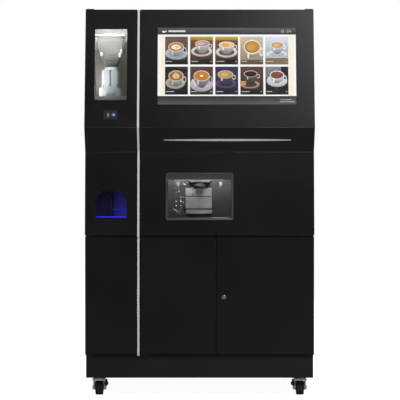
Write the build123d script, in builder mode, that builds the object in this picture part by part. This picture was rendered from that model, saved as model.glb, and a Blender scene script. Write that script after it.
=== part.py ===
from build123d import *
import os
from math import hypot, pi, sqrt

os.makedirs("parts", exist_ok=True)

# A coffee vending machine. X runs to the right, Y to the back, Z up; millimetres.
# The origin is on the floor under the middle of the machine.

# ---- overall size ----
overall_width = 1160.0
overall_depth = 820.0
overall_height = 1977.0

# ---- sheet stock and gaps ----
sheet = 2.0               # cabinet sheet
panel = 3.0               # front panels
plate = 3.0               # hinge plates, roof and decks
seam = 3.0                # between two neighbouring front panels
turn_gap = 1.5            # above and below a hinge plate
door_gap = 4.0            # between a door and the cabinet behind it
slip = 0.5                # between pieces that only pass each other

# ---- front profile: how far each line of the front lies behind the nose ----
strip_proud = 2.0
top_setback = 82.0
recess_setback = 53.0
knuckle_setback = 32.0
lower_setback = 44.0
plinth_setback = 65.0
upper_door_depth = 120.0  # nose to rear plane
lower_door_depth = 36.0

# ---- heights ----
wheel_radius = 37.5
castor_room = 24.0        # the wheel's top to the chassis floor
castor_height = 2 * wheel_radius + castor_room
plinth_height = 115.0
lower_door_height = 597.5
delivery_panel_height = 421.5
slope_height = 121.0

# ---- columns ----
left_column = 262.0
strip_width = 10.6
strip_gap = 3.0
middle_door_gap = 4.4
middle_door_width = 380.0
middle_seam = 4.0

# ---- hinges ----
pin_radius = 4.0
pin_length = 12.0
pin_clearance = 0.05
upper_axis_inset = 10.0   # from the door's outer side
upper_axis_depth = 22.0   # in front of the door's rear plane
lower_axis_inset = 9.0    # from the door's edge, and behind its face
boss = 18.0
boss_height = 12.0

# ---- derived planes ----
half_width = overall_width / 2
y_nose = -overall_depth / 2 + strip_proud
y_back = overall_depth / 2
y_upper_rear = y_nose + upper_door_depth
y_cabinet = y_upper_rear + door_gap
y_lower_face = y_nose + lower_setback
y_lower_rear = y_lower_face + lower_door_depth
y_frame = y_lower_rear + door_gap
y_plinth = y_nose + plinth_setback

z_deck = castor_height + plinth_height
z_lower_door = z_deck + plate + 2 * turn_gap
z_lower_top = z_lower_door + lower_door_height
z_mid = z_lower_top + turn_gap
z_upper_door = z_mid + plate + turn_gap
z_recess = z_upper_door + delivery_panel_height
z_nose = z_recess + slope_height
z_roof = overall_height - plate
z_door_top = z_roof - turn_gap
z_roof_under = z_roof - plate

x_left_edge = -half_width + left_column
x_strip = x_left_edge + strip_gap
x_strip_right = x_strip + strip_width
x_right_edge = x_strip_right + strip_gap
x_middle_door = x_strip_right + middle_door_gap
x_middle_end = x_middle_door + middle_door_width
x_right_door = x_middle_end + middle_seam
x_seam = x_middle_end + middle_seam / 2


def shifted_line(upper, lower, inset):
    """The line through two (y, z) points moved backwards: y = start + slope * z."""
    slope = (upper[0] - lower[0]) / (upper[1] - lower[1])
    start = upper[0] - slope * upper[1] + inset * hypot(1, slope)
    return slope, start


def line_meeting(first, second):
    z = (second[1] - first[1]) / (first[0] - second[0])
    return first[1] + first[0] * z, z


front_top = (y_nose + top_setback, z_door_top)
front_nose = (y_nose, z_nose)
front_recess = (y_nose + recess_setback, z_recess)
front_knuckle = (y_nose + knuckle_setback, z_upper_door)


def front_points(inset, z_top=z_door_top, z_bottom=z_upper_door):
    """The upper front's four (y, z) points, moved backwards by inset."""
    display = shifted_line(front_top, front_nose, inset)
    slope = shifted_line(front_nose, front_recess, inset)
    delivery = shifted_line(front_recess, front_knuckle, inset)
    return [
        (display[1] + display[0] * z_top, z_top),
        line_meeting(display, slope),
        line_meeting(slope, delivery),
        (delivery[1] + delivery[0] * z_bottom, z_bottom),
    ]


def facet_plane(upper, lower, x):
    """A plane on a facet's middle, its z pointing out of the machine and its y up the facet."""
    along = (upper[0] - lower[0], upper[1] - lower[1])
    middle = (x, (upper[0] + lower[0]) / 2, (upper[1] + lower[1]) / 2)
    return Plane(origin=middle, x_dir=(1, 0, 0), z_dir=(0, -along[1], along[0]))


def facet_length(upper, lower):
    return hypot(upper[0] - lower[0], upper[1] - lower[1])


def span_box(x, y, z):
    """A box between two corners, given as its x, y and z ranges, at those places."""
    with Locations(((x[0] + x[1]) / 2, (y[0] + y[1]) / 2, (z[0] + z[1]) / 2)):
        return Box(x[1] - x[0], y[1] - y[0], z[1] - z[0])


def span_cut(x, y, z):
    with Locations(((x[0] + x[1]) / 2, (y[0] + y[1]) / 2, (z[0] + z[1]) / 2)):
        return Box(x[1] - x[0], y[1] - y[0], z[1] - z[0], mode=Mode.SUBTRACT)


# ======================= cabinet =======================

y_back_inner = y_back - plate
plinth_inset = 3.0

wheel_width = 38.0
fork_gap = 2.0
fork_arm = 3.0
trail = 26.0
king_radius = 6.0
axle_radius = 5.0
head_radius = 28.0
head_thickness = 7.0
arm_top = 22.0
pin_over = 2.0            # king pin past the chassis floor
pad_width = 104.0
pad_depth = 84.0
castor_inset = 64.0
castor_front = y_plinth + 62.0
castor_rear = y_back - 100.0
z_head = castor_height - plate
castors = {
    "front_left": (-half_width + castor_inset, castor_front),
    "front_right": (half_width - castor_inset, castor_front),
    "rear_left": (-half_width + castor_inset, castor_rear),
    "rear_right": (half_width - castor_inset, castor_rear),
}

with BuildPart() as base_chassis:
    span_box((-half_width + plinth_inset, half_width - plinth_inset), (y_plinth, y_back - 10),
             (castor_height, z_deck))
    span_cut((-half_width + plinth_inset + sheet, half_width - plinth_inset - sheet),
             (y_plinth + sheet, y_back - 10 - sheet), (castor_height + plate, z_deck - plate))
    front_edges = base_chassis.edges().filter_by(Axis.Z).group_by(Axis.Y)[0]
    fillet(front_edges, 1.5)
    # Castor pads, welded under the chassis, each with a hole for its fork's king pin.
    for x, y in castors.values():
        with Locations((x, y, castor_height - plate / 2)):
            Box(pad_width, pad_depth, plate)
        with Locations((x, y, castor_height)):
            Cylinder(king_radius + pin_clearance, 2 * plate, mode=Mode.SUBTRACT)
base_chassis.part.label = "base_chassis"
export_step(base_chassis.part, "parts/base_chassis.step")

for side, node in ((-1, "side_panel_left"), (1, "side_panel_right")):
    outer = side * half_width
    with BuildPart() as side_panel:
        span_box(sorted((outer, outer - side * sheet)), (y_cabinet, y_back), (z_deck, z_roof_under))
        span_box(sorted((outer, outer - side * 22.0)), (y_cabinet, y_cabinet + sheet),
                 (z_mid + plate, z_roof_under))
    side_panel.part.label = node
    export_step(side_panel.part, f"parts/{node}.step")

with BuildPart() as roof_panel:
    span_box((-half_width, half_width), (y_cabinet, y_back), (z_roof_under, z_roof))
    fillet(roof_panel.edges().filter_by(Axis.Z), 4.0)
roof_panel.part.label = "roof_panel"
export_step(roof_panel.part, "parts/roof_panel.step")

# Back panel: vents, a pocket for the mains and water inlets, and two wall anchor holes.
back_half = half_width - sheet - slip
vent_width = 90.0
vent_height = 6.0
service_width = 180.0
service_height = 110.0
service_depth = 60.0
service_x = half_width - 200.0
service_z = z_deck + 100.0
inlet_radius = 13.2
inlet_length = 34.0
mains_width = 48.0
mains_height = 28.0
inlet_offset = 45.0
y_pocket = y_back_inner - service_depth
anchor_spacing = 900.0
anchor_radius = 4.5
anchor_drop = 60.0
with BuildPart() as back_panel:
    span_box((-back_half, back_half), (y_back_inner, y_back), (z_deck, z_roof_under))
    span_box((service_x - service_width / 2 - sheet, service_x + service_width / 2 + sheet),
             (y_pocket - sheet, y_back_inner),
             (service_z - service_height / 2 - sheet, service_z + service_height / 2 + sheet))
    span_cut((service_x - service_width / 2, service_x + service_width / 2), (y_pocket, y_back),
             (service_z - service_height / 2, service_z + service_height / 2))
    with BuildSketch(Plane.XZ.offset(-y_back)):
        with Locations((-half_width / 2, z_roof_under - 260), (half_width / 2, z_roof_under - 260)):
            with GridLocations(vent_width + 20, vent_height + 12, 3, 9):
                SlotOverall(vent_width, vent_height)
        with Locations((-half_width / 2, z_deck + 200)):
            with GridLocations(vent_width + 20, vent_height + 12, 3, 9):
                SlotOverall(vent_width, vent_height)
        with Locations((0, z_roof_under - anchor_drop)):
            with GridLocations(anchor_spacing, 1, 2, 1):
                Circle(anchor_radius)
    extrude(amount=plate, mode=Mode.SUBTRACT)
back_panel.part.label = "back_panel"
export_step(back_panel.part, "parts/back_panel.step")

with BuildPart() as service_inlets:
    with BuildSketch(Plane.XZ.offset(-y_pocket)):
        with Locations((service_x - inlet_offset, service_z)):
            Circle(inlet_radius)
            Circle(inlet_radius - 4, mode=Mode.SUBTRACT)
    extrude(amount=-inlet_length)
    with BuildSketch(Plane.XZ.offset(-y_pocket)):
        with Locations((service_x + inlet_offset, service_z)):
            RectangleRounded(mains_width, mains_height, 3)
    extrude(amount=-22)
    with BuildSketch(Plane.XZ.offset(-(y_pocket + 22))):
        with Locations((service_x + inlet_offset, service_z)):
            RectangleRounded(mains_width - 18, mains_height - 8, 3)
    extrude(amount=16, mode=Mode.SUBTRACT)
service_inlets.part.label = "service_inlets"
export_step(service_inlets.part, "parts/service_inlets.step")

# Face frame: the posts and rails that the lower doors close on.
post = 22.0
centre_post = 30.0
frame_wall = 2.0
lock_x = x_right_door + 39.0
lock_height = 291.0
z_lock = z_lower_door + lock_height
lock_radius = 10.0
cam_y = y_frame + 8.0
cam_thickness = 3.0
cam_length = 42.0
cam_width = 14.0
cam_room = 2.0
cam_sweep = sqrt(cam_length**2 + cam_width**2 / 4 - (lock_x - x_seam - centre_post / 2) ** 2)
with BuildPart() as face_frame:
    span_box((-half_width, half_width), (y_frame, y_cabinet), (z_deck, z_mid))
    span_cut((-half_width + post, x_strip - slip), (y_frame, y_cabinet), (z_deck + post, z_mid - post))
    span_cut((x_strip_right + slip, x_seam - centre_post / 2), (y_frame, y_cabinet),
             (z_deck + post, z_mid - post))
    span_cut((x_seam + centre_post / 2, half_width - post), (y_frame, y_cabinet),
             (z_deck + post, z_mid - post))
    span_cut((x_strip - slip, x_strip_right + slip), (y_frame, y_cabinet), (z_deck + post, z_mid - post))
    # The centre post is a tube, with a slot in its right wall that the lock's cam swings through.
    span_cut((x_seam - centre_post / 2 + frame_wall, x_seam + centre_post / 2 - frame_wall),
             (y_frame + frame_wall, y_cabinet - frame_wall), (z_deck + post, z_mid - post))
    span_cut((x_seam, x_seam + centre_post / 2), (cam_y - cam_room, cam_y + cam_thickness + cam_room),
             (z_lock - cam_width / 2 - cam_room, z_lock + cam_sweep + cam_room))
face_frame.part.label = "face_frame"
export_step(face_frame.part, "parts/face_frame.step")

# Partition: a hollow wall between the columns; its front fin carries the bright strip.
strip_depth = 4.0
fin = front_points(strip_depth - strip_proud, z_roof_under, z_upper_door)
fin_lower_y = y_lower_face - strip_proud + strip_depth
with BuildPart() as partition_wall:
    with BuildSketch(Plane.YZ.offset(x_strip)):
        with BuildLine():
            Polyline(*fin, (fin[3][0], z_mid), (fin_lower_y, z_mid), (fin_lower_y, z_deck),
                     (y_back_inner, z_deck), (y_back_inner, z_roof_under), close=True)
        make_face()
    extrude(amount=strip_width)
    # A pocket between its two skins, open at the rear.
    span_cut((x_strip + sheet, x_strip_right - sheet), (y_cabinet + post, y_back_inner),
             (z_mid + plate, z_roof_under - plate))
    span_cut((x_strip + sheet, x_strip_right - sheet), (y_cabinet + post, y_back_inner),
             (z_deck + post, z_mid - plate - post))
    # Slots for the mid deck and the face frame's rails.
    span_cut((x_strip, x_strip_right), (y_cabinet, y_back_inner), (z_mid - plate, z_mid))
    span_cut((x_strip, x_strip_right), (y_frame, y_cabinet), (z_deck, z_deck + post))
    span_cut((x_strip, x_strip_right), (y_frame, y_cabinet), (z_mid - post, z_mid))
partition_wall.part.label = "partition_wall"
export_step(partition_wall.part, "parts/partition_wall.step")

# Bright strip: it follows the front from the roof to the plinth, a little proud of the doors.
proud = front_points(-strip_proud)
under = front_points(strip_depth - strip_proud)
strip_lower_y = y_lower_face - strip_proud
strip_outline = [
    *proud,
    (proud[3][0], z_mid - strip_depth),
    (strip_lower_y, z_mid - strip_depth),
    (strip_lower_y, z_deck),
    (fin_lower_y, z_deck),
    (fin_lower_y, z_mid),
    (under[3][0], z_mid),
    *reversed(under),
]
with BuildPart() as silver_strip:
    with BuildSketch(Plane.YZ.offset(x_strip)):
        with BuildLine():
            Polyline(*strip_outline, close=True)
        make_face()
    extrude(amount=strip_width)
silver_strip.part.label = "silver_strip"
export_step(silver_strip.part, "parts/silver_strip.step")

# Mid deck: it closes the lower bays and has the holes for the waste chute and the drain.
chute_x = -half_width + left_column / 2
with BuildPart() as mid_deck:
    span_box((-half_width + sheet, half_width - sheet), (y_cabinet, y_back_inner), (z_mid - plate, z_mid))
    with Locations((chute_x, 0, z_mid - plate / 2)):
        Box(110, 110, plate, mode=Mode.SUBTRACT)
    with Locations((0, y_cabinet + 200, z_mid - plate / 2)):
        Cylinder(20, plate, mode=Mode.SUBTRACT)
mid_deck.part.label = "mid_deck"
export_step(mid_deck.part, "parts/mid_deck.step")

# Hinge plates and their pins: three levels at each outer side, two for the middle door.
upper_axis_x = half_width - upper_axis_inset
upper_axis_y = y_upper_rear - upper_axis_depth
lower_axis_x = half_width - lower_axis_inset
lower_axis_y = y_lower_face + lower_axis_inset
middle_axis_x = x_middle_door + lower_axis_inset
plate_edge = 6.0
plate_reach = 32.0        # hinge axis to the plate's inner end
roof_tail = 60.0          # how far the plates lie on the roof and the mid deck
deck_tail = 40.0
z_foot_plate = z_deck + turn_gap


def hinge_pin(x, y, z_low, z_high):
    with Locations((x, y, (z_low + z_high) / 2)):
        Cylinder(pin_radius, z_high - z_low)


with BuildPart() as hinge_plates:
    for side in (-1, 1):
        reach = sorted((side * (upper_axis_x - plate_reach), side * (half_width - sheet)))
        span_box(reach, (upper_axis_y - plate_edge, y_cabinet + roof_tail), (z_roof, z_roof + plate))
        hinge_pin(side * upper_axis_x, upper_axis_y, z_roof - pin_length, z_roof)
        span_box(reach, (lower_axis_y - plate_edge, y_cabinet + deck_tail), (z_mid, z_mid + plate))
        hinge_pin(side * upper_axis_x, upper_axis_y, z_mid + plate, z_mid + plate + pin_length)
        hinge_pin(side * lower_axis_x, lower_axis_y, z_mid - pin_length, z_mid)
        span_box(reach, (lower_axis_y - plate_edge, y_frame), (z_foot_plate, z_foot_plate + plate))
        hinge_pin(side * lower_axis_x, lower_axis_y, z_foot_plate + plate, z_foot_plate + plate + pin_length)
    reach = (x_middle_door, middle_axis_x + plate_reach)
    span_box(reach, (lower_axis_y - plate_edge, y_cabinet + deck_tail), (z_mid, z_mid + plate))
    hinge_pin(middle_axis_x, lower_axis_y, z_mid - pin_length, z_mid)
    span_box(reach, (lower_axis_y - plate_edge, y_frame), (z_foot_plate, z_foot_plate + plate))
    hinge_pin(middle_axis_x, lower_axis_y, z_foot_plate + plate, z_foot_plate + plate + pin_length)
hinge_plates.part.label = "hinge_plates"
export_step(hinge_plates.part, "parts/hinge_plates.step")

# ======================= delivery chamber =======================

# The delivery window and the chamber behind it are centred on the machine.
window_width = 328.0
window_height = 226.0
window_drop = 225.0       # recess line to the window's centre
window_radius = 3.0
chamber_margin = 5.0
chamber_reach = 54.0      # how far it stands into the door
chamber_depth = 300.0
chamber_below = 23.0
chamber_above = 19.0
z_window = z_recess - window_drop
chamber_x = window_width / 2 + chamber_margin
y_chamber = y_cabinet - chamber_reach
y_chamber_back = y_chamber + chamber_depth
z_chamber = z_window - window_height / 2 - chamber_below
z_chamber_top = z_window + window_height / 2 + chamber_above
with BuildPart() as delivery_chamber:
    span_box((-chamber_x - sheet, chamber_x + sheet), (y_chamber, y_chamber_back + sheet),
             (z_chamber - sheet, z_chamber_top + sheet))
    span_cut((-chamber_x, chamber_x), (y_chamber, y_chamber_back), (z_chamber, z_chamber_top))
    for x in (-chamber_x + 20, chamber_x - 20):
        span_box((x - 15, x + 15), (y_cabinet + 10, y_chamber_back), (z_mid, z_chamber - sheet))
delivery_chamber.part.label = "delivery_chamber"
export_step(delivery_chamber.part, "parts/delivery_chamber.step")

# Dispensing head: a block under the chamber's ceiling, with a collar and three spouts.
collar_radius = 43.0
collar_height = 20.0
head_drop = 58.0
y_head = y_chamber + 140.0
z_collar = z_chamber_top - head_drop
with BuildPart() as nozzle_head:
    span_box((-62, 62), (y_head - 50, y_chamber_back - 20), (z_collar, z_chamber_top))
    fillet(nozzle_head.edges().filter_by(Axis.Z), 10)
    with BuildSketch(Plane.XY.offset(z_collar - collar_height)):
        with Locations((0, y_head)):
            Circle(collar_radius)
            Circle(collar_radius - 4, mode=Mode.SUBTRACT)
    extrude(amount=collar_height)
    with BuildSketch(Plane.XY.offset(z_collar - collar_height + 4)):
        with Locations((0, y_head)):
            with PolarLocations(14, 3, start_angle=90):
                Circle(5)
                Circle(3, mode=Mode.SUBTRACT)
    extrude(amount=collar_height - 4)
nozzle_head.part.label = "nozzle_head"
export_step(nozzle_head.part, "parts/nozzle_head.step")

# Drip tray: an open tray under a slotted rest for the cup.
tray_height = 26.0
tray_half = chamber_x - 12.0
y_tray = y_chamber + 8.0
y_tray_back = y_chamber_back - 60.0
with BuildPart() as drip_tray:
    span_box((-tray_half, tray_half), (y_tray, y_tray_back), (z_chamber, z_chamber + tray_height))
    span_cut((-tray_half + sheet, tray_half - sheet), (y_tray + sheet, y_tray_back - sheet),
             (z_chamber + sheet, z_chamber + tray_height - sheet))
    with BuildSketch(Plane.XY.offset(z_chamber + tray_height)):
        with Locations((0, (y_tray + y_tray_back) / 2)):
            with GridLocations(14, 80, 18, 2):
                SlotOverall(70, 6, rotation=90)
    extrude(amount=-sheet, mode=Mode.SUBTRACT)
drip_tray.part.label = "drip_tray"
export_step(drip_tray.part, "parts/drip_tray.step")

# ======================= brewing side: left bay =======================

hopper_window_width = 162.0
hopper_window_height = 368.0
hopper_window_drop = 287.0   # door top to the window's centre, along the panel
hopper_x = -half_width + 117.0
y_hopper = y_cabinet + 116.0
hopper_half = 74.0
hopper_drop = 121.0          # roof to the hopper's rim
hopper_height = 150.0
hopper_wall = 3.0
hopper_inner = hopper_half - hopper_wall
hopper_corner = 14.0
hopper_straight = 60.0    # the part of its height above the taper
hopper_foot = 70.0
foot_inner = hopper_foot - 2 * hopper_wall
neck_radius = 20.0
z_hopper_rim = z_roof_under - hopper_drop
z_hopper_base = z_hopper_rim - hopper_height
z_shelf = z_roof_under - 460.0

with BuildPart() as grinder_shelf:
    span_box((-half_width + sheet, x_strip), (y_cabinet + 4, y_cabinet + 330), (z_shelf, z_shelf + plate))
    span_box((-half_width + sheet, x_strip), (y_cabinet + 4, y_cabinet + 4 + plate), (z_shelf, z_shelf + 24))
grinder_shelf.part.label = "grinder_shelf"
export_step(grinder_shelf.part, "parts/grinder_shelf.step")

grinder_half = 57.0
motor_block = 68.0
throat_height = 12.0
z_motor = z_shelf + plate
z_throat = z_hopper_base - 26.0
with BuildPart() as grinder:
    span_box((hopper_x - grinder_half, hopper_x + grinder_half), (y_hopper - 60, y_hopper + 90),
             (z_motor, z_motor + motor_block))
    fillet(grinder.edges().filter_by(Axis.Z), 8)
    with BuildSketch(Plane.XY.offset(z_motor + motor_block)):
        with Locations((hopper_x, y_hopper)):
            RectangleRounded(88, 96, 10)
    extrude(amount=z_throat - z_motor - motor_block)
    with BuildSketch(Plane.XY.offset(z_throat)):
        with Locations((hopper_x, y_hopper)):
            Circle(neck_radius + 6)
    extrude(amount=throat_height)
    # Dosing spout, which drops the ground coffee to the brewer.
    with BuildSketch(Plane.XY.offset(z_motor)):
        with Locations((hopper_x, y_hopper - 72)):
            RectangleRounded(44, 30, 6)
    extrude(amount=40)
grinder.part.label = "grinder"
export_step(grinder.part, "parts/grinder.step")

# Bean hopper: a clear tapered bin that ends in a neck seated on the grinder's collar.
z_neck = z_throat + throat_height
with BuildPart() as bean_hopper:
    with BuildSketch(Plane.XY.offset(z_hopper_rim)):
        with Locations((hopper_x, y_hopper)):
            RectangleRounded(2 * hopper_half, 2 * hopper_half, hopper_corner)
    extrude(amount=-hopper_straight)
    with BuildSketch(Plane.XY.offset(z_hopper_rim - hopper_straight)):
        with Locations((hopper_x, y_hopper)):
            RectangleRounded(2 * hopper_half, 2 * hopper_half, hopper_corner)
    with BuildSketch(Plane.XY.offset(z_hopper_base)):
        with Locations((hopper_x, y_hopper)):
            RectangleRounded(hopper_foot, hopper_foot, hopper_corner)
    loft()
    with BuildSketch(Plane.XY.offset(z_neck)):
        with Locations((hopper_x, y_hopper)):
            Circle(neck_radius + hopper_wall)
    extrude(amount=z_hopper_base - z_neck)
    # The inside follows the outside, one wall smaller.
    with BuildSketch(Plane.XY.offset(z_hopper_rim)):
        with Locations((hopper_x, y_hopper)):
            RectangleRounded(2 * hopper_inner, 2 * hopper_inner, hopper_corner - hopper_wall)
    extrude(amount=-hopper_straight, mode=Mode.SUBTRACT)
    with BuildSketch(Plane.XY.offset(z_hopper_rim - hopper_straight)):
        with Locations((hopper_x, y_hopper)):
            RectangleRounded(2 * hopper_inner, 2 * hopper_inner, hopper_corner - hopper_wall)
    with BuildSketch(Plane.XY.offset(z_hopper_base + hopper_wall)):
        with Locations((hopper_x, y_hopper)):
            RectangleRounded(foot_inner, foot_inner, hopper_corner - hopper_wall)
    loft(mode=Mode.SUBTRACT)
    with BuildSketch(Plane.XY.offset(z_neck)):
        with Locations((hopper_x, y_hopper)):
            Circle(neck_radius)
    extrude(amount=z_hopper_base + hopper_wall - z_neck, mode=Mode.SUBTRACT)
bean_hopper.part.label = "bean_hopper"
export_step(bean_hopper.part, "parts/bean_hopper.step")

lid_thickness = 6.0
lid_grip = 8.0
lid_lug = 8.0
lid_knuckle = 40.0
y_lid_axis = y_hopper + hopper_half + 6
with BuildPart() as hopper_lid:
    with BuildSketch(Plane.XY.offset(z_hopper_rim + slip)):
        with Locations((hopper_x, y_hopper)):
            RectangleRounded(2 * hopper_half + 6, 2 * hopper_half, 12)
        with Locations((hopper_x, y_lid_axis - lid_lug / 2)):
            Rectangle(lid_knuckle, lid_lug)
    extrude(amount=lid_thickness)
    with Locations(Location((hopper_x, y_lid_axis, z_hopper_rim + slip + lid_thickness / 2), (0, 90, 0))):
        Cylinder(lid_thickness / 2, lid_knuckle)
    with Locations((hopper_x, y_hopper - 40, z_hopper_rim + slip + lid_thickness + lid_grip / 2)):
        Box(50, 12, lid_grip)
hopper_lid.part.label = "hopper_lid"
export_step(hopper_lid.part, "parts/hopper_lid.step")

# Brewer: a frame bracketed to the partition, with a bore in which the piston slides.
brewer_width = 110.0
brewer_height = 250.0
bore_radius = 27.0
piston_clearance = 0.1
piston_travel = 45.0
brewer_depth = 130.0
drain_radius = 8.0
piston_up = 60.0          # piston above the bore's floor at rest
piston_height = 24.0
piston_rod = 9.0
piston_rod_length = 110.0
brewer_x = x_strip - brewer_width / 2
y_brewer = y_cabinet + 180.0
z_brewer = z_shelf - 60.0 - brewer_height
z_bore = z_brewer + 60.0
with BuildPart() as brewer_housing:
    with Locations((brewer_x, y_brewer, z_brewer + brewer_height / 2)):
        Box(brewer_width, brewer_depth, brewer_height)
    fillet(brewer_housing.edges().filter_by(Axis.Z), 10)
    with BuildSketch(Plane.XY.offset(z_bore)):
        with Locations((brewer_x, y_brewer)):
            Circle(bore_radius)
    extrude(amount=z_brewer + brewer_height - z_bore, mode=Mode.SUBTRACT)
    with BuildSketch(Plane.XY.offset(z_brewer)):
        with Locations((brewer_x, y_brewer)):
            Circle(drain_radius)
    extrude(amount=z_bore - z_brewer, mode=Mode.SUBTRACT)
brewer_housing.part.label = "brewer_housing"
export_step(brewer_housing.part, "parts/brewer_housing.step")

with BuildPart() as brewer_piston:
    with BuildSketch(Plane.XY.offset(z_bore + piston_up)):
        with Locations((brewer_x, y_brewer)):
            Circle(bore_radius - piston_clearance)
    extrude(amount=piston_height)
    with BuildSketch(Plane.XY.offset(z_bore + piston_up + piston_height)):
        with Locations((brewer_x, y_brewer)):
            Circle(piston_rod)
    extrude(amount=piston_rod_length)
brewer_piston.part.label = "brewer_piston"
export_step(brewer_piston.part, "parts/brewer_piston.step")

# ======================= powder side: right bay =======================

z_tier = z_chamber_top + 30.0
y_tier = y_cabinet + 60.0
with BuildPart() as mixer_shelf:
    span_box((x_strip_right, half_width - sheet), (y_tier, y_back_inner), (z_tier, z_tier + plate))
    span_box((x_strip_right, half_width - sheet), (y_tier, y_tier + plate), (z_tier - 20, z_tier))
    with Locations((0, y_tier + 110, z_tier + plate / 2)):
        Cylinder(50, plate, mode=Mode.SUBTRACT)
mixer_shelf.part.label = "mixer_shelf"
export_step(mixer_shelf.part, "parts/mixer_shelf.step")

canister_width = 100.0
canister_depth = 250.0
canister_height = 260.0
canister_pitch = 118.0
canister_count = 3
spout_radius = 18.0
spout_length = 46.0
spout_height = 38.0
canister_x = half_width - 90.0 - canister_pitch
z_canister = z_tier + plate
with BuildPart() as powder_canisters:
    with BuildSketch(Plane.XY.offset(z_canister)):
        with Locations((canister_x, y_tier + 20 + canister_depth / 2)):
            with GridLocations(canister_pitch, 1, canister_count, 1):
                RectangleRounded(canister_width, canister_depth, 10)
    extrude(amount=canister_height)
    with BuildSketch(Plane.XY.offset(z_canister + canister_height)):
        with Locations((canister_x, y_tier + 20 + canister_depth / 2)):
            with GridLocations(canister_pitch, 1, canister_count, 1):
                RectangleRounded(canister_width + 4, canister_depth + 4, 10)
    extrude(amount=10)
    with BuildSketch(Plane.XZ.offset(-(y_tier + 20))):
        with Locations((canister_x, z_canister + spout_height)):
            with GridLocations(canister_pitch, 1, canister_count, 1):
                Circle(spout_radius)
    extrude(amount=spout_length)
powder_canisters.part.label = "powder_canisters"
export_step(powder_canisters.part, "parts/powder_canisters.step")

# Mixing chambers hang on the shelf's front flange, under the canisters' spouts.
bowl_radius = 26.0
bowl_height = 46.0
bowl_outlet = 8.0
z_bowl = z_tier - 30.0
y_bowl = y_tier - bowl_radius
with BuildPart() as mixing_chambers:
    with BuildSketch(Plane.XY.offset(z_bowl)):
        with Locations((canister_x, y_bowl)):
            with GridLocations(canister_pitch, 1, canister_count, 1):
                Circle(bowl_radius)
    extrude(amount=bowl_height)
    with BuildSketch(Plane.XY.offset(z_bowl)):
        with Locations((canister_x, y_bowl)):
            with GridLocations(canister_pitch, 1, canister_count, 1):
                Circle(bowl_outlet)
    extrude(amount=-30)
mixing_chambers.part.label = "mixing_chambers"
export_step(mixing_chambers.part, "parts/mixing_chambers.step")

# Cup dispenser over the chamber, with a turning ring of cup stacks on it.
turret_y = y_tier + 150.0
dispenser_height = 110.0
z_turret = z_canister + dispenser_height
cup_radius = 40.0
cup_circle = 88.0
cup_count = 5
stack_height = 330.0
with BuildPart() as cup_dispenser:
    with Locations((0, turret_y, z_canister + dispenser_height / 2)):
        Box(250, 250, dispenser_height)
    fillet(cup_dispenser.edges().filter_by(Axis.Z), 30)
    with BuildSketch(Plane.XY.offset(z_turret)):
        with Locations((0, turret_y)):
            Circle(12)
    extrude(amount=40)
cup_dispenser.part.label = "cup_dispenser"
export_step(cup_dispenser.part, "parts/cup_dispenser.step")

with BuildPart() as cup_turret:
    with BuildSketch(Plane.XY.offset(z_turret + turn_gap)):
        with Locations((0, turret_y)):
            Circle(cup_circle + cup_radius + 5)
    extrude(amount=8)
    with BuildSketch(Plane.XY.offset(z_turret + turn_gap + 8)):
        with Locations((0, turret_y)):
            with PolarLocations(cup_circle, cup_count, start_angle=-90):
                Circle(cup_radius)
            Circle(30)
    extrude(amount=stack_height)
    with BuildSketch(Plane.XY.offset(z_turret)):
        with Locations((0, turret_y)):
            Circle(12 + pin_clearance)
    extrude(amount=50, mode=Mode.SUBTRACT)
cup_turret.part.label = "cup_turret"
export_step(cup_turret.part, "parts/cup_turret.step")

boiler_radius = 85.0
boiler_height = 250.0
boiler_x = chamber_x + 130.0
boiler_y = y_cabinet + 420.0
boiler_round = 24.0
boiler_port_radius = 9.0
boiler_port_height = 20.0
with BuildPart() as boiler:
    with BuildSketch(Plane.XY.offset(z_mid)):
        with Locations((boiler_x, boiler_y)):
            Circle(boiler_radius)
    extrude(amount=boiler_height)
    fillet(boiler.faces().sort_by(Axis.Z)[-1].edges(), boiler_round)
    with BuildSketch(Plane.XY.offset(z_mid + boiler_height)):
        with Locations((boiler_x, boiler_y)):
            with PolarLocations(boiler_radius / 2, 3):
                Circle(boiler_port_radius)
    extrude(amount=boiler_port_height)
boiler.part.label = "boiler"
export_step(boiler.part, "parts/boiler.step")

with BuildPart() as control_box:
    span_box((chamber_x + 230, half_width - 30), (y_cabinet + 60, y_cabinet + 300), (z_mid, z_mid + 240))
    fillet(control_box.edges().filter_by(Axis.Z), 5)
control_box.part.label = "control_box"
export_step(control_box.part, "parts/control_box.step")

# ======================= supplies: lower bays =======================

bottle_radius = 130.0
bottle_body = 350.0
bottle_gap = 30.0
bottle_neck = 32.0
z_bottle_shoulder = z_deck + bottle_body + 70.0
z_bottle_top = z_bottle_shoulder + 45.0
y_bottle = y_cabinet + 250.0
bottle_x = x_strip_right + 40.0 + bottle_radius
with BuildPart() as water_bottles:
    for index in range(2):
        x = bottle_x + index * (2 * bottle_radius + bottle_gap)
        with BuildSketch(Plane.XZ.offset(-y_bottle)):
            with BuildLine():
                Polyline((x, z_deck), (x + bottle_radius, z_deck), (x + bottle_radius, z_deck + bottle_body),
                         (x + bottle_neck, z_bottle_shoulder), (x + bottle_neck, z_bottle_top),
                         (x, z_bottle_top), close=True)
            make_face()
        revolve(axis=Axis((x, y_bottle, 0), (0, 0, 1)))
water_bottles.part.label = "water_bottles"
export_step(water_bottles.part, "parts/water_bottles.step")

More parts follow.
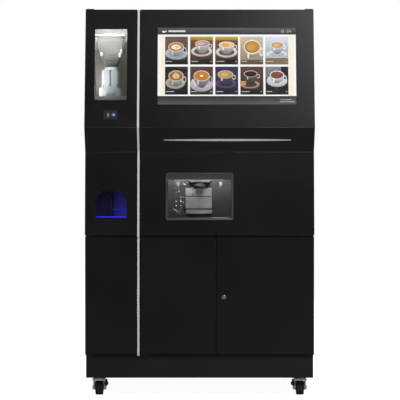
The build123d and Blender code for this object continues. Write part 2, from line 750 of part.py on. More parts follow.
# Waste bins: one for coffee grounds under the chute, one for waste water.
bin_height = 330.0
bin_wall = 3.0
bin_depth = 300.0
waste_x = half_width - 40.0 - 95.0
for bin_centre, bin_width, node in ((chute_x, 190.0, "grounds_bin"), (waste_x, 180.0, "waste_bucket")):
    with BuildPart() as waste_bin:
        with BuildSketch(Plane.XY.offset(z_deck)):
            with Locations((bin_centre, y_cabinet + 40 + bin_depth / 2)):
                RectangleRounded(bin_width, bin_depth, 14)
        extrude(amount=bin_height)
        with BuildSketch(Plane.XY.offset(z_deck + bin_wall)):
            with Locations((bin_centre, y_cabinet + 40 + bin_depth / 2)):
                RectangleRounded(bin_width - 2 * bin_wall, bin_depth - 2 * bin_wall, 11)
        extrude(amount=bin_height, mode=Mode.SUBTRACT)
    waste_bin.part.label = node
    export_step(waste_bin.part, f"parts/{node}.step")

# ======================= upper doors =======================

bar = 16.0
inside = front_points(panel)
rail_wall = 3.0
pane = 6.0
pane_gap = 1.5
pane_side = 26.0          # pane past the window at each side
pane_below = 6.0
pane_above = 4.0
rail_clearance = 0.4
rail_bite = 6.0
rail_lip = 1.0            # the channel's front lip, before the pane

window_y = facet_length(front_recess, front_knuckle) / 2 - window_drop
pane_low = window_y - window_height / 2 - pane_below
pane_high = window_y + window_height / 2 + pane_above
rack_module = 2.0
rack_pitch = rack_module * pi
lift_pitches = 34
lift_travel = lift_pitches * rack_pitch
delivery_plane = facet_plane(front_recess, front_knuckle, 0)
pane_plane = delivery_plane.offset(-(panel + pane_gap))
rail_half = window_width / 2 + pane_side
rail_low = pane_low - 10.0
rail_top = pane_high + lift_travel + 4.0
rail_middle = rail_half + rail_clearance + (rail_wall - rail_bite) / 2


def pivot_boss(x, y, z_low, z_high):
    with Locations((x, y, (z_low + z_high) / 2)):
        Box(boss, boss, z_high - z_low)


def pivot_hole(x, y, z_low, z_high):
    with Locations((x, y, (z_low + z_high) / 2)):
        Cylinder(pin_radius + pin_clearance, z_high - z_low, mode=Mode.SUBTRACT)


outline = [*inside, (y_upper_rear, z_upper_door), (y_upper_rear, z_door_top)]
hollow = [
    *front_points(-20, z_door_top - sheet, z_upper_door + sheet),
    (y_upper_rear + 20, z_upper_door + sheet),
    (y_upper_rear + 20, z_door_top - sheet),
]


def cross_bar(x_low, x_high, y, z):
    with Locations(((x_low + x_high) / 2, y, z)):
        Box(x_high - x_low, bar, bar)


y_nose_bar = inside[1][0] + 4 + bar / 2
upper_doors = (
    (-half_width, x_left_edge, -upper_axis_x, "upper_left_door_frame"),
    (x_right_edge, half_width, upper_axis_x, "upper_right_door_frame"),
)
for x_low, x_high, axis_x, node in upper_doors:
    boss_x = (x_low + sheet + boss / 2) if axis_x < 0 else (x_high - sheet - boss / 2)
    with BuildPart() as door_frame:
        with BuildSketch(Plane.YZ.offset(x_low)):
            with BuildLine():
                Polyline(*outline, close=True)
            make_face()
        extrude(amount=x_high - x_low)
        with BuildSketch(Plane.YZ.offset(x_low + sheet)):
            with BuildLine():
                Polyline(*hollow, close=True)
            make_face()
        extrude(amount=x_high - x_low - 2 * sheet, mode=Mode.SUBTRACT)
        pivot_boss(boss_x, upper_axis_y, z_door_top - sheet - boss_height, z_door_top - sheet)
        pivot_boss(boss_x, upper_axis_y, z_upper_door + sheet,
                   z_upper_door + sheet + boss_height)
        pivot_hole(axis_x, upper_axis_y, z_door_top - sheet - boss_height, z_door_top)
        pivot_hole(axis_x, upper_axis_y, z_upper_door, z_upper_door + sheet + boss_height)
        cross_bar(x_low + sheet, x_high - sheet, y_nose_bar, z_nose + 10)
        if node == "upper_right_door_frame":
            # Two bars carry a guide channel on each side of the delivery door's pane.
            with BuildSketch(pane_plane.offset(rail_lip)):
                middle_x = (x_low + x_high) / 2
                with Locations((middle_x, rail_low - bar / 2), (middle_x, rail_top + bar / 2)):
                    Rectangle(x_high - x_low - 2 * sheet, bar)
            extrude(amount=-bar)
            with BuildSketch(pane_plane.offset(rail_lip)):
                for side in (-1, 1):
                    with Locations((side * rail_middle, (rail_low + rail_top) / 2)):
                        Rectangle(rail_bite + rail_wall + rail_clearance, rail_top - rail_low)
            extrude(amount=-(rail_lip + pane + rail_clearance + rail_wall))
            with BuildSketch(pane_plane.offset(rail_clearance)):
                for side in (-1, 1):
                    groove_x = rail_half + rail_clearance - rail_bite
                    with Locations((side * groove_x, (rail_low + rail_top) / 2)):
                        Rectangle(2 * rail_bite, rail_top - rail_low)
            extrude(amount=-(pane + 2 * rail_clearance), mode=Mode.SUBTRACT)
    door_frame.part.label = node
    export_step(door_frame.part, f"parts/{node}.step")

upper_columns = ((-half_width, x_left_edge), (x_right_edge, half_width))
left_centre = (-half_width + x_left_edge) / 2
right_centre = (x_right_edge + half_width) / 2

# Upper left door: window panel, slope panel and port panel.
display_face = (front_top, front_nose)
slope_face = (front_nose, front_recess)
delivery_face = (front_recess, front_knuckle)
hopper_window_y = facet_length(*display_face) / 2 - hopper_window_drop
reader_width = 70.0
reader_height = 48.0
reader_rise = 66.0        # the nose to the reader's centre, along the panel
reader_y = reader_rise - facet_length(*display_face) / 2

with BuildPart() as window_panel:
    with BuildSketch(facet_plane(*display_face, left_centre)):
        Rectangle(left_column, facet_length(*display_face) - seam)
        with Locations((0, hopper_window_y)):
            RectangleRounded(hopper_window_width, hopper_window_height, 3, mode=Mode.SUBTRACT)
        with Locations((0, reader_y)):
            RectangleRounded(reader_width, reader_height, 4, mode=Mode.SUBTRACT)
    extrude(amount=-panel)
window_panel.part.label = "upper_left_window_panel"
export_step(window_panel.part, "parts/upper_left_window_panel.step")

pane_overlap = 8.0
hopper_pane = 4.0
with BuildPart() as hopper_window:
    with BuildSketch(facet_plane(*display_face, left_centre).offset(-panel)):
        with Locations((0, hopper_window_y)):
            RectangleRounded(hopper_window_width + 2 * pane_overlap,
                             hopper_window_height + 2 * pane_overlap, 6)
    extrude(amount=-hopper_pane)
hopper_window.part.label = "hopper_window"
export_step(hopper_window.part, "parts/hopper_window.step")

with BuildPart() as payment_reader:
    with BuildSketch(facet_plane(*display_face, left_centre)):
        with Locations((0, reader_y)):
            RectangleRounded(reader_width - 2 * slip, reader_height - 2 * slip, 4)
    extrude(amount=-panel)
    with BuildSketch(facet_plane(*display_face, left_centre).offset(-panel)):
        with Locations((0, reader_y)):
            RectangleRounded(reader_width + 14, reader_height + 14, 5)
    extrude(amount=-18)
payment_reader.part.label = "payment_reader"
export_step(payment_reader.part, "parts/payment_reader.step")

for (x_low, x_high), node in zip(upper_columns, ("upper_left_slope_panel", "upper_right_slope_panel")):
    with BuildPart() as slope_panel:
        with BuildSketch(facet_plane(*slope_face, (x_low + x_high) / 2)):
            Rectangle(x_high - x_low, facet_length(*slope_face) - seam)
        extrude(amount=-panel)
    slope_panel.part.label = node
    export_step(slope_panel.part, f"parts/{node}.step")

# Port: an arched opening with chamfered shoulders, and a liner of the same outline.
port_width = 160.0
port_height = 136.0
port_shoulder = 32.0
port_shoulder_height = 44.0
port_drop = 267.0
port_depth = 140.0
port_y = facet_length(*delivery_face) / 2 - port_drop


def port_outline(grow):
    """The port's corner points on the panel's plane, grown outwards by grow."""
    half = port_width / 2 + grow
    top = port_height / 2 + grow
    return [
        (-half, port_y - top),
        (half, port_y - top),
        (half, port_y + top - port_shoulder_height),
        (half - port_shoulder, port_y + top),
        (-half + port_shoulder, port_y + top),
        (-half, port_y + top - port_shoulder_height),
    ]


port_plane = facet_plane(*delivery_face, left_centre)
with BuildPart() as port_panel:
    with BuildSketch(port_plane):
        Rectangle(left_column, facet_length(*delivery_face) - seam)
    extrude(amount=-panel)
    with BuildSketch(port_plane):
        with BuildLine():
            Polyline(*port_outline(0), close=True)
        make_face()
    extrude(amount=-panel, mode=Mode.SUBTRACT)
port_panel.part.label = "upper_left_port_panel"
export_step(port_panel.part, "parts/upper_left_port_panel.step")

with BuildPart() as port_liner:
    with BuildSketch(port_plane.offset(-panel)):
        with BuildLine():
            Polyline(*port_outline(sheet), close=True)
        make_face()
    extrude(amount=-port_depth)
    with BuildSketch(port_plane.offset(-panel)):
        with BuildLine():
            Polyline(*port_outline(0), close=True)
        make_face()
    extrude(amount=-port_depth + sheet, mode=Mode.SUBTRACT)
port_liner.part.label = "port_liner"
export_step(port_liner.part, "parts/port_liner.step")

# Upper right door: display panel, slope panel and delivery panel.
screen_width = 700.0
screen_height = 397.0
screen_drop = 294.0       # door top to the screen's centre, along the panel
screen_gap = 1.0
screen_shift = 138.0 - right_centre
screen_y = facet_length(*display_face) / 2 - screen_drop
display_plane = facet_plane(*display_face, right_centre)
with BuildPart() as display_panel:
    with BuildSketch(display_plane):
        Rectangle(half_width - x_right_edge, facet_length(*display_face) - seam)
        with Locations((screen_shift, screen_y)):
            Rectangle(screen_width + 2 * screen_gap, screen_height + 2 * screen_gap, mode=Mode.SUBTRACT)
    extrude(amount=-panel)
display_panel.part.label = "display_panel"
export_step(display_panel.part, "parts/display_panel.step")

with BuildPart() as display_glass:
    with BuildSketch(display_plane):
        with Locations((screen_shift, screen_y)):
            Rectangle(screen_width, screen_height)
    extrude(amount=-panel)
display_glass.part.label = "display_glass"
export_step(display_glass.part, "parts/display_glass.step")

module_margin = 9.0
module_depth = 22.0
with BuildPart() as display_module:
    with BuildSketch(display_plane.offset(-panel)):
        with Locations((screen_shift, screen_y)):
            Rectangle(screen_width + 2 * module_margin, screen_height + 2 * module_margin)
    extrude(amount=-module_depth)
display_module.part.label = "display_module"
export_step(display_module.part, "parts/display_module.step")

# Slope trim: a slim bright bar that tapers to both ends.
trim_length = 640.0
trim_width = 11.0
trim_end = 4.0
trim_height = 3.0
slope_plane = facet_plane(*slope_face, right_centre)
with BuildPart() as slope_trim:
    with BuildSketch(slope_plane):
        with BuildLine():
            left_end = (-trim_length / 2 + 140 - right_centre, -trim_end / 2)
            right_end = (trim_length / 2 + 140 - right_centre, -trim_end / 2)
            ThreePointArc(left_end, (140 - right_centre, -trim_width / 2), right_end)
            Line(right_end, (right_end[0], trim_end / 2))
            ThreePointArc((right_end[0], trim_end / 2), (140 - right_centre, trim_width / 2),
                          (left_end[0], trim_end / 2))
            Line((left_end[0], trim_end / 2), left_end)
        make_face()
    extrude(amount=trim_height)
slope_trim.part.label = "slope_trim"
export_step(slope_trim.part, "parts/slope_trim.step")

delivery_panel_plane = facet_plane(*delivery_face, right_centre)
bezel_lip = 7.0
with BuildPart() as delivery_panel:
    with BuildSketch(delivery_panel_plane):
        Rectangle(half_width - x_right_edge, facet_length(*delivery_face) - seam)
        with Locations((-right_centre, window_y)):
            RectangleRounded(window_width, window_height, window_radius, mode=Mode.SUBTRACT)
    extrude(amount=-panel)
delivery_panel.part.label = "delivery_panel"
export_step(delivery_panel.part, "parts/delivery_panel.step")

# Window bezel: a thin frame set on the panel round the opening.
with BuildPart() as delivery_bezel:
    with BuildSketch(delivery_plane):
        with Locations((0, window_y)):
            RectangleRounded(window_width + 2 * bezel_lip, window_height + 2 * bezel_lip,
                             window_radius + bezel_lip)
            RectangleRounded(window_width - 2, window_height - 2, window_radius, mode=Mode.SUBTRACT)
    extrude(amount=1.5)
    with BuildSketch(delivery_plane):
        with Locations((0, window_y)):
            RectangleRounded(window_width - 2 * slip, window_height - 2 * slip, window_radius)
            RectangleRounded(window_width - 6, window_height - 6, window_radius - 2, mode=Mode.SUBTRACT)
    extrude(amount=-panel)
delivery_bezel.part.label = "delivery_bezel"
export_step(delivery_bezel.part, "parts/delivery_bezel.step")

# Delivery door: a clear pane that slides up behind the panel, with a rack on its right edge.
rack_x = window_width / 2 + 8.0
rack_width = 8.0
tooth_height = 3.4
rack_edge = rack_x + rack_width
tooth_root = 1.9          # half a tooth's thickness at its root and at its tip
tooth_tip = 0.8
rack_depth = 10.0
rack_teeth = 38
pinion_teeth = 12
pinion_radius = rack_module * pinion_teeth / 2
rack_low = pane_low + 1.0
pitch_x = rack_edge + tooth_height / 2
mesh_gap = 0.5
pinion_x = pitch_x + pinion_radius + mesh_gap
rack_hold = 14.0          # rack's front face behind the pane's front
with BuildPart() as delivery_door:
    with BuildSketch(pane_plane):
        with Locations((0, (pane_low + pane_high) / 2)):
            Rectangle(2 * rail_half, pane_high - pane_low)
    extrude(amount=-pane)
    with BuildSketch(pane_plane.offset(-pane)):
        with Locations((rack_x + rack_width / 2, rack_low + rack_teeth * rack_pitch / 2)):
            Rectangle(rack_width, rack_teeth * rack_pitch)
    extrude(amount=-rack_hold)
    with BuildSketch(pane_plane.offset(-pane - rack_hold + rack_depth)):
        for index in range(rack_teeth):
            middle = rack_low + (index + 0.5) * rack_pitch
            with BuildLine():
                Polyline((rack_edge, middle - tooth_root), (rack_edge + tooth_height, middle - tooth_tip),
                         (rack_edge + tooth_height, middle + tooth_tip), (rack_edge, middle + tooth_root),
                         close=True)
            make_face()
    extrude(amount=-rack_depth)
delivery_door.part.label = "delivery_door"
export_step(delivery_door.part, "parts/delivery_door.step")

# Lift pinion: its lowest teeth stay on the rack over the whole travel.
pinion_index = rack_teeth - 3
pinion_y = rack_low + pinion_index * rack_pitch
pinion_face = pane_plane.offset(-pane - rack_hold + rack_depth)
pinion_root = 1.9
pinion_tooth = 2.0
shaft_radius = 3.0
shaft_past = 1.5          # between the pinion and the motor
motor_radius = 17.0
motor_length = 26.0
with BuildPart() as lift_pinion:
    with BuildSketch(pinion_face):
        with Locations((pinion_x, pinion_y)):
            Circle(pinion_radius - pinion_root)
            with PolarLocations(pinion_radius - pinion_root, pinion_teeth):
                with Locations((tooth_height / 2 - 0.3, 0)):
                    Rectangle(tooth_height - 0.4, pinion_tooth)
            Circle(shaft_radius + pin_clearance, mode=Mode.SUBTRACT)
    extrude(amount=-rack_depth)
lift_pinion.part.label = "lift_pinion"
export_step(lift_pinion.part, "parts/lift_pinion.step")

motor_x = pinion_x + 8
with BuildPart() as lift_motor:
    with BuildSketch(pinion_face):
        with Locations((pinion_x, pinion_y)):
            Circle(shaft_radius)
    extrude(amount=-rack_depth - shaft_past)
    with BuildSketch(pinion_face.offset(-rack_depth - shaft_past)):
        with Locations((motor_x, pinion_y)):
            RectangleRounded(44, 40, 6)
    extrude(amount=-motor_length)
lift_motor.part.label = "lift_motor"
export_step(lift_motor.part, "parts/lift_motor.step")

# ======================= lower doors =======================

door_edge_radius = 4.0
lower_doors = (
    (-half_width, x_left_edge, -lower_axis_x, "lower_left_door"),
    (x_middle_door, x_middle_end, middle_axis_x, "lower_middle_door"),
    (x_right_door, half_width, lower_axis_x, "lower_right_door"),
)
for x_low, x_high, axis_x, node in lower_doors:
    with BuildPart() as lower_door:
        span_box((x_low, x_high), (y_lower_face, y_lower_rear), (z_lower_door, z_lower_top))
        fillet(lower_door.edges().filter_by(Axis.Z).group_by(Axis.Y)[0], door_edge_radius)
        span_cut((x_low + sheet, x_high - sheet), (y_lower_face + sheet, y_lower_rear),
                 (z_lower_door + sheet, z_lower_top - sheet))
        hinged_left = axis_x - x_low < x_high - axis_x
        boss_x = x_low + sheet + boss / 2 if hinged_left else x_high - sheet - boss / 2
        boss_y = y_lower_face + sheet + boss / 2
        pivot_boss(boss_x, boss_y, z_lower_top - sheet - boss_height, z_lower_top - sheet)
        pivot_boss(boss_x, boss_y, z_lower_door + sheet, z_lower_door + sheet + boss_height)
        pivot_hole(axis_x, lower_axis_y, z_lower_top - sheet - boss_height, z_lower_top)
        pivot_hole(axis_x, lower_axis_y, z_lower_door, z_lower_door + sheet + boss_height)
        if node == "lower_right_door":
            with BuildSketch(Plane.XZ.offset(-(y_lower_face + sheet))):
                with Locations((lock_x, z_lock)):
                    Circle(lock_radius + pin_clearance)
            extrude(amount=sheet, mode=Mode.SUBTRACT)
    lower_door.part.label = node
    export_step(lower_door.part, f"parts/{node}.step")

# Lock: a barrel through the right door; its cam turns into the centre post's slot.
with BuildPart() as lock_barrel:
    with BuildSketch(Plane.XZ.offset(-(cam_y + cam_thickness))):
        with Locations((lock_x, z_lock)):
            Circle(lock_radius)
    extrude(amount=cam_y + cam_thickness - y_lower_face + 2)
    span_box((lock_x - cam_width / 2, lock_x + cam_width / 2), (cam_y, cam_y + cam_thickness),
             (z_lock, z_lock + cam_length))
    with Locations((lock_x, y_lower_face - 1, z_lock)):
        Box(2, 3, 9, mode=Mode.SUBTRACT)
lock_barrel.part.label = "lock_barrel"
export_step(lock_barrel.part, "parts/lock_barrel.step")

# ======================= castors =======================

for corner, (x, y) in castors.items():
    with BuildPart() as castor_fork:
        with BuildSketch(Plane.XY.offset(z_head - slip)):
            with Locations((x, y)):
                Circle(head_radius)
        extrude(amount=-head_thickness)
        with BuildSketch(Plane.XY.offset(z_head - slip)):
            with Locations((x, y)):
                Circle(king_radius)
        extrude(amount=slip + 2 * plate + pin_over)
        arm_inner = wheel_width / 2 + fork_gap
        z_arm = z_head - slip - head_thickness / 2
        for side in (-1, 1):
            with BuildSketch(Plane.YZ.offset(x + side * (arm_inner + fork_arm / 2))):
                with BuildLine():
                    Polyline((y - arm_top, z_arm), (y + arm_top, z_arm),
                             (y + trail + 13, wheel_radius + 6),
                             (y + trail + 10, wheel_radius - 11), (y + trail - 10, wheel_radius - 11),
                             (y + trail - 16, wheel_radius + 4), close=True)
                make_face()
            extrude(amount=fork_arm / 2, both=True)
        with Locations(Location((x, y + trail, wheel_radius), (0, 90, 0))):
            Cylinder(axle_radius, 2 * (arm_inner + fork_arm) + 6)
        if corner.startswith("front"):
            # Brake pedal.
            span_box((x - 14, x + 14), (y + head_radius - 1, y + trail + 34),
                     (z_head - slip - head_thickness, z_head - slip - head_thickness + 4))
    castor_fork.part.label = f"castor_fork_{corner}"
    export_step(castor_fork.part, f"parts/castor_fork_{corner}.step")

    with BuildPart() as castor_wheel:
        with Locations(Location((x, y + trail, wheel_radius), (0, 90, 0))):
            Cylinder(wheel_radius, wheel_width)
        fillet(castor_wheel.edges().filter_by(GeomType.CIRCLE), 4)
        with Locations(Location((x, y + trail, wheel_radius), (0, 90, 0))):
            Cylinder(axle_radius + pin_clearance, wheel_width, mode=Mode.SUBTRACT)
    castor_wheel.part.label = f"castor_wheel_{corner}"
    export_step(castor_wheel.part, f"parts/castor_wheel_{corner}.step")
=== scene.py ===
import math
import bpy
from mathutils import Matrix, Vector


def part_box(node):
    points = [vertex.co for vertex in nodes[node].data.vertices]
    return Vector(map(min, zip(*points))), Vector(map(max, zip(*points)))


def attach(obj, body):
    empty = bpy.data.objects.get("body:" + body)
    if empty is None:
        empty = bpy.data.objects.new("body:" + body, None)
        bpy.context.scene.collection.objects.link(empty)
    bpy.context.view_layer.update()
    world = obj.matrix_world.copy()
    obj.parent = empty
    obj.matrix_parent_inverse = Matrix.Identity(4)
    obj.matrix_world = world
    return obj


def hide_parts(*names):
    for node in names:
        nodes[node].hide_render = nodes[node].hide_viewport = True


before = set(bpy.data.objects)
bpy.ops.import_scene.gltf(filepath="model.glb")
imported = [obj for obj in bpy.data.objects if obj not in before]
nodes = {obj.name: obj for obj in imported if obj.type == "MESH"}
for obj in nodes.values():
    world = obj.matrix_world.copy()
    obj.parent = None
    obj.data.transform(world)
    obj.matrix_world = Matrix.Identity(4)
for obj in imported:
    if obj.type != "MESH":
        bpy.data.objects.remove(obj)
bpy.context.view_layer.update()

print("stage: frame loaded")


# small helpers
def clearSelection():
    if bpy.context.mode != "OBJECT":
        bpy.ops.object.mode_set(mode="OBJECT")
    bpy.ops.object.select_all(action="DESELECT")


def pickOnly(piece):
    clearSelection()
    piece.select_set(True)
    bpy.context.view_layer.objects.active = piece


def settle(piece):  # puts the place into the mesh
    pickOnly(piece)
    bpy.ops.object.transform_apply(location=True, rotation=True, scale=True)


def namePiece(name):
    piece = bpy.context.active_object
    piece.name = name
    piece.data.name = name
    return piece


def useModifier(piece, kind, **values):
    pickOnly(piece)
    modifier = piece.modifiers.new(kind.title(), kind)
    for key, value in values.items():
        setattr(modifier, key, value)
    bpy.ops.object.modifier_apply(modifier=modifier.name)


def softenEdges(piece, width, segments=2, angle=35):
    useModifier(piece, "BEVEL", width=width, segments=segments, limit_method="ANGLE",
                angle_limit=math.radians(angle))
    pickOnly(piece)
    bpy.ops.object.shade_smooth_by_angle(angle=math.radians(40))


def addBlock(name, low, high, edge=0.001, segments=2):
    clearSelection()
    middle = [(a + b) / 2 for a, b in zip(low, high)]
    size = [abs(b - a) for a, b in zip(low, high)]
    bpy.ops.mesh.primitive_cube_add(size=1, location=middle, scale=size)
    piece = namePiece(name)
    settle(piece)
    softenEdges(piece, min(edge, min(size) * 0.45), segments)
    return piece


def addRod(name, start, end, radius, sides=32, edge=0.0005, endRadius=None):
    clearSelection()
    start, end = Vector(start), Vector(end)
    turn = (end - start).to_track_quat("Z", "Y").to_euler()
    far = radius if endRadius is None else endRadius
    bpy.ops.mesh.primitive_cone_add(vertices=sides, radius1=radius, radius2=far, depth=(end - start).length,
                                    location=(start + end) / 2, rotation=turn)
    piece = namePiece(name)
    settle(piece)
    softenEdges(piece, edge, 2, 50)
    return piece


def addRing(name, centre, axis, radius, thickness, sides=48):
    clearSelection()
    turn = Vector(axis).to_track_quat("Z", "Y").to_euler()
    bpy.ops.mesh.primitive_torus_add(major_radius=radius, minor_radius=thickness, major_segments=sides,
                                     minor_segments=12, location=centre, rotation=turn)
    piece = namePiece(name)
    settle(piece)
    pickOnly(piece)
    bpy.ops.object.shade_smooth_by_angle(angle=math.radians(60))
    return piece


def joinAll(name, pieces):
    pickOnly(pieces[0])
    for piece in pieces:
        piece.select_set(True)
    bpy.ops.object.join()
    return namePiece(name)


def finishPiece(piece, material, body):
    piece.data.materials.clear()
    piece.data.materials.append(material)
    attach(piece, body)


def fitBlock(name, low, high, edge, material, body):
    finishPiece(addBlock(name, low, high, edge), material, body)


def low(node):
    return Vector(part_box(node)[0])


def high(node):
    return Vector(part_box(node)[1])


# the leaning faces of the front
def facetOf(node):
    points = [v.co for v in nodes[node].data.vertices]
    top = max(points, key=lambda p: round(p.z, 5) * 1000 - p.y)
    bottom = min(points, key=lambda p: round(p.z, 5) * 1000 + p.y)
    front = min(points, key=lambda p: round(p.y, 5) * 1000 + p.z)
    middleZ = (top.z + bottom.z) / 2
    if front.z < middleZ:  # leans back towards the top
        upper, lower = top, front
    else:
        upper, lower = front, bottom
    return Vector((0, upper.y, upper.z)), Vector((0, lower.y, lower.z))


def facetTurn(facet):
    up = (facet[0] - facet[1]).normalized()
    return math.atan2(up.z, up.y)


def facetPoint(facet, x, down, out):
    up = (facet[0] - facet[1]).normalized()
    outward = Vector((0, -up.z, up.y))
    return facet[0] - up * down + outward * out + Vector((x, 0, 0))


def placeOn(piece, facet, x, down, out):  # moves a piece drawn flat round the origin onto a face
    piece.rotation_euler = (facetTurn(facet), 0, 0)
    piece.location = facetPoint(facet, x, down, out)
    settle(piece)
    return piece


def tint(red, green, blue):
    def channel(value):
        value = value / 255
        return value / 12.92 if value <= 0.04045 else ((value + 0.055) / 1.055) ** 2.4
    return (channel(red), channel(green), channel(blue), 1.0)


# shared surface effects
def setSockets(node, values):
    for socket, value in values.items():
        node.inputs[socket].default_value = value


def addNode(tree, kind, values=None, **settings):
    node = tree.nodes.new("ShaderNode" + kind)
    for key, value in settings.items():
        setattr(node, key, value)
    setSockets(node, values or {})
    return node


def newGroup(name, inputs, outputs):
    group = bpy.data.node_groups.new(name, "ShaderNodeTree")
    for label, kind, value in inputs:
        socket = group.interface.new_socket(label, in_out="INPUT", socket_type=kind)
        if value is not None:
            socket.default_value = value
    for label, kind in outputs:
        group.interface.new_socket(label, in_out="OUTPUT", socket_type=kind)
    return group, group.nodes.new("NodeGroupInput"), group.nodes.new("NodeGroupOutput")


def buildFineSurface():
    # fine grain for bump, and broad soft smudges for colour and gloss
    group, source, result = newGroup(
        "fineSurface",
        [("Vector", "NodeSocketVector", None), ("Grain Scale", "NodeSocketFloat", 900.0),
         ("Smudge Scale", "NodeSocketFloat", 5.0)],
        [("Grain", "NodeSocketFloat"), ("Smudge", "NodeSocketFloat"), ("Dust", "NodeSocketFloat")])
    grain = addNode(group, "TexNoise", {"Detail": 3.0})
    smudge = addNode(group, "TexNoise", {"Detail": 4.0, "Distortion": 0.6})
    ramp = addNode(group, "MapRange", {"From Min": 0.38, "From Max": 0.68})
    dust = addNode(group, "TexVoronoi")
    dustSize = addNode(group, "Math", {1: 0.12}, operation="MULTIPLY")
    dustRange = addNode(group, "MapRange", {"From Min": 0.09, "From Max": 0.02})
    link = group.links.new
    link(source.outputs["Vector"], grain.inputs["Vector"])
    link(source.outputs["Grain Scale"], grain.inputs["Scale"])
    link(source.outputs["Vector"], smudge.inputs["Vector"])
    link(source.outputs["Smudge Scale"], smudge.inputs["Scale"])
    link(source.outputs["Vector"], dust.inputs["Vector"])
    link(source.outputs["Grain Scale"], dustSize.inputs[0])
    link(dustSize.outputs[0], dust.inputs["Scale"])
    link(smudge.outputs[0], ramp.inputs["Value"])
    link(dust.outputs["Distance"], dustRange.inputs["Value"])
    link(grain.outputs[0], result.inputs["Grain"])
    link(ramp.outputs["Result"], result.inputs["Smudge"])
    link(dustRange.outputs["Result"], result.inputs["Dust"])
    return group


def buildBrushedSurface():
    # long fine scratches; the Mapping node in the material sets their direction
    group, source, result = newGroup(
        "brushedSurface",
        [("Vector", "NodeSocketVector", None), ("Line Scale", "NodeSocketFloat", 60.0)],
        [("Lines", "NodeSocketFloat"), ("Cloud", "NodeSocketFloat")])
    lines = addNode(group, "TexNoise", {"Detail": 6.0, "Roughness": 0.7})
    cloud = addNode(group, "TexNoise", {"Scale": 3.0})
    link = group.links.new
    link(source.outputs["Vector"], lines.inputs["Vector"])
    link(source.outputs["Line Scale"], lines.inputs["Scale"])
    link(source.outputs["Vector"], cloud.inputs["Vector"])
    link(lines.outputs[0], result.inputs["Lines"])
    link(cloud.outputs[0], result.inputs["Cloud"])
    return group


fineSurface = buildFineSurface()
brushedSurface = buildBrushedSurface()


def startMaterial(name):
    material = bpy.data.materials.new(name)
    material.use_nodes = True
    tree = material.node_tree
    return material, tree, tree.nodes["Principled BSDF"], addNode(tree, "TexCoord")


def mixColour(tree, factor, first, second):
    mix = addNode(tree, "Mix", {6: first, 7: second}, data_type="RGBA")
    tree.links.new(factor, mix.inputs[0])
    return mix.outputs[2]


def spread(tree, value, toMin, toMax, fromMin=0.0, fromMax=1.0):
    ranged = addNode(tree, "MapRange", {"From Min": fromMin, "From Max": fromMax, "To Min": toMin,
                                        "To Max": toMax})
    tree.links.new(value, ranged.inputs["Value"])
    return ranged.outputs["Result"]


def addBump(tree, shader, height, strength, distance):
    bump = addNode(tree, "Bump", {"Strength": strength, "Distance": distance})
    tree.links.new(height, bump.inputs["Height"])
    tree.links.new(bump.outputs["Normal"], shader.inputs["Normal"])


def addFineSurface(tree, place, values=None):
    surface = addNode(tree, "Group", values, node_tree=fineSurface)
    tree.links.new(place.outputs["Object"], surface.inputs["Vector"])
    return surface


def mixSmudge(tree, surface, colours):
    return mixColour(tree, surface.outputs["Smudge"], tint(*colours[0]), tint(*colours[1]))


plainCoat = {"grainScale": 900.0, "smudgeScale": 8.0, "bump": 0.1, "bumpDepth": 0.0003, "shine": 0.5,
             "metal": 0.0}
plainMetal = {"stretch": (1, 1, 1), "lineScale": 40.0, "metal": 1.0, "bumpDepth": 0.0002}


def coatedFinish(name, values):
    # painted, moulded and rubber surfaces
    values = {**plainCoat, **values}
    material, tree, shader, place = startMaterial(name)
    surface = addFineSurface(tree, place, {"Grain Scale": values["grainScale"],
                                           "Smudge Scale": values["smudgeScale"]})
    speck = addNode(tree, "Mix", {7: tint(*values["dust"])}, data_type="RGBA")
    tree.links.new(spread(tree, surface.outputs["Dust"], 0.0, values["dustAmount"]), speck.inputs[0])
    tree.links.new(mixSmudge(tree, surface, values["colours"]), speck.inputs[6])
    tree.links.new(speck.outputs[2], shader.inputs["Base Color"])
    tree.links.new(spread(tree, surface.outputs["Smudge"], *values["rough"]), shader.inputs["Roughness"])
    addBump(tree, shader, surface.outputs["Grain"], values["bump"], values["bumpDepth"])
    setSockets(shader, {"Specular IOR Level": values["shine"], "Metallic": values["metal"]})
    # paintedGlow makes a surface that is no lamp glow a little: painted light
    if "paintedGlow" in values:
        setSockets(shader, {"Emission Color": tint(*values["paintedGlow"]),
                            "Emission Strength": values["paintedGlowStrength"]})
    return material


def metalFinish(name, values):
    values = {**plainMetal, **values}
    material, tree, shader, place = startMaterial(name)
    stretch = addNode(tree, "Mapping", {"Scale": values["stretch"]})
    surface = addNode(tree, "Group", {"Line Scale": values["lineScale"]}, node_tree=brushedSurface)
    tree.links.new(place.outputs["Object"], stretch.inputs["Vector"])
    tree.links.new(stretch.outputs[0], surface.inputs["Vector"])
    dark, light = values["colours"]
    colour = mixColour(tree, surface.outputs["Lines"], tint(*dark), tint(*light))
    tree.links.new(colour, shader.inputs["Base Color"])
    tree.links.new(spread(tree, surface.outputs["Cloud"], *values["rough"], 0.3, 0.7),
                   shader.inputs["Roughness"])
    setSockets(shader, {"Metallic": values["metal"]})
    addBump(tree, shader, surface.outputs["Lines"], values["bump"], values["bumpDepth"])
    return material


def glassFinish(name, values):
    material, tree, shader, place = startMaterial(name)
    surface = addFineSurface(tree, place, {"Smudge Scale": values["smudgeScale"]})
    tree.links.new(mixSmudge(tree, surface, values["colours"]), shader.inputs["Base Color"])
    tree.links.new(spread(tree, surface.outputs["Smudge"], *values["rough"]), shader.inputs["Roughness"])
    setSockets(shader, {"Metallic": 0.0, "Transmission Weight": values["clear"], "IOR": values["bend"]})
    return material


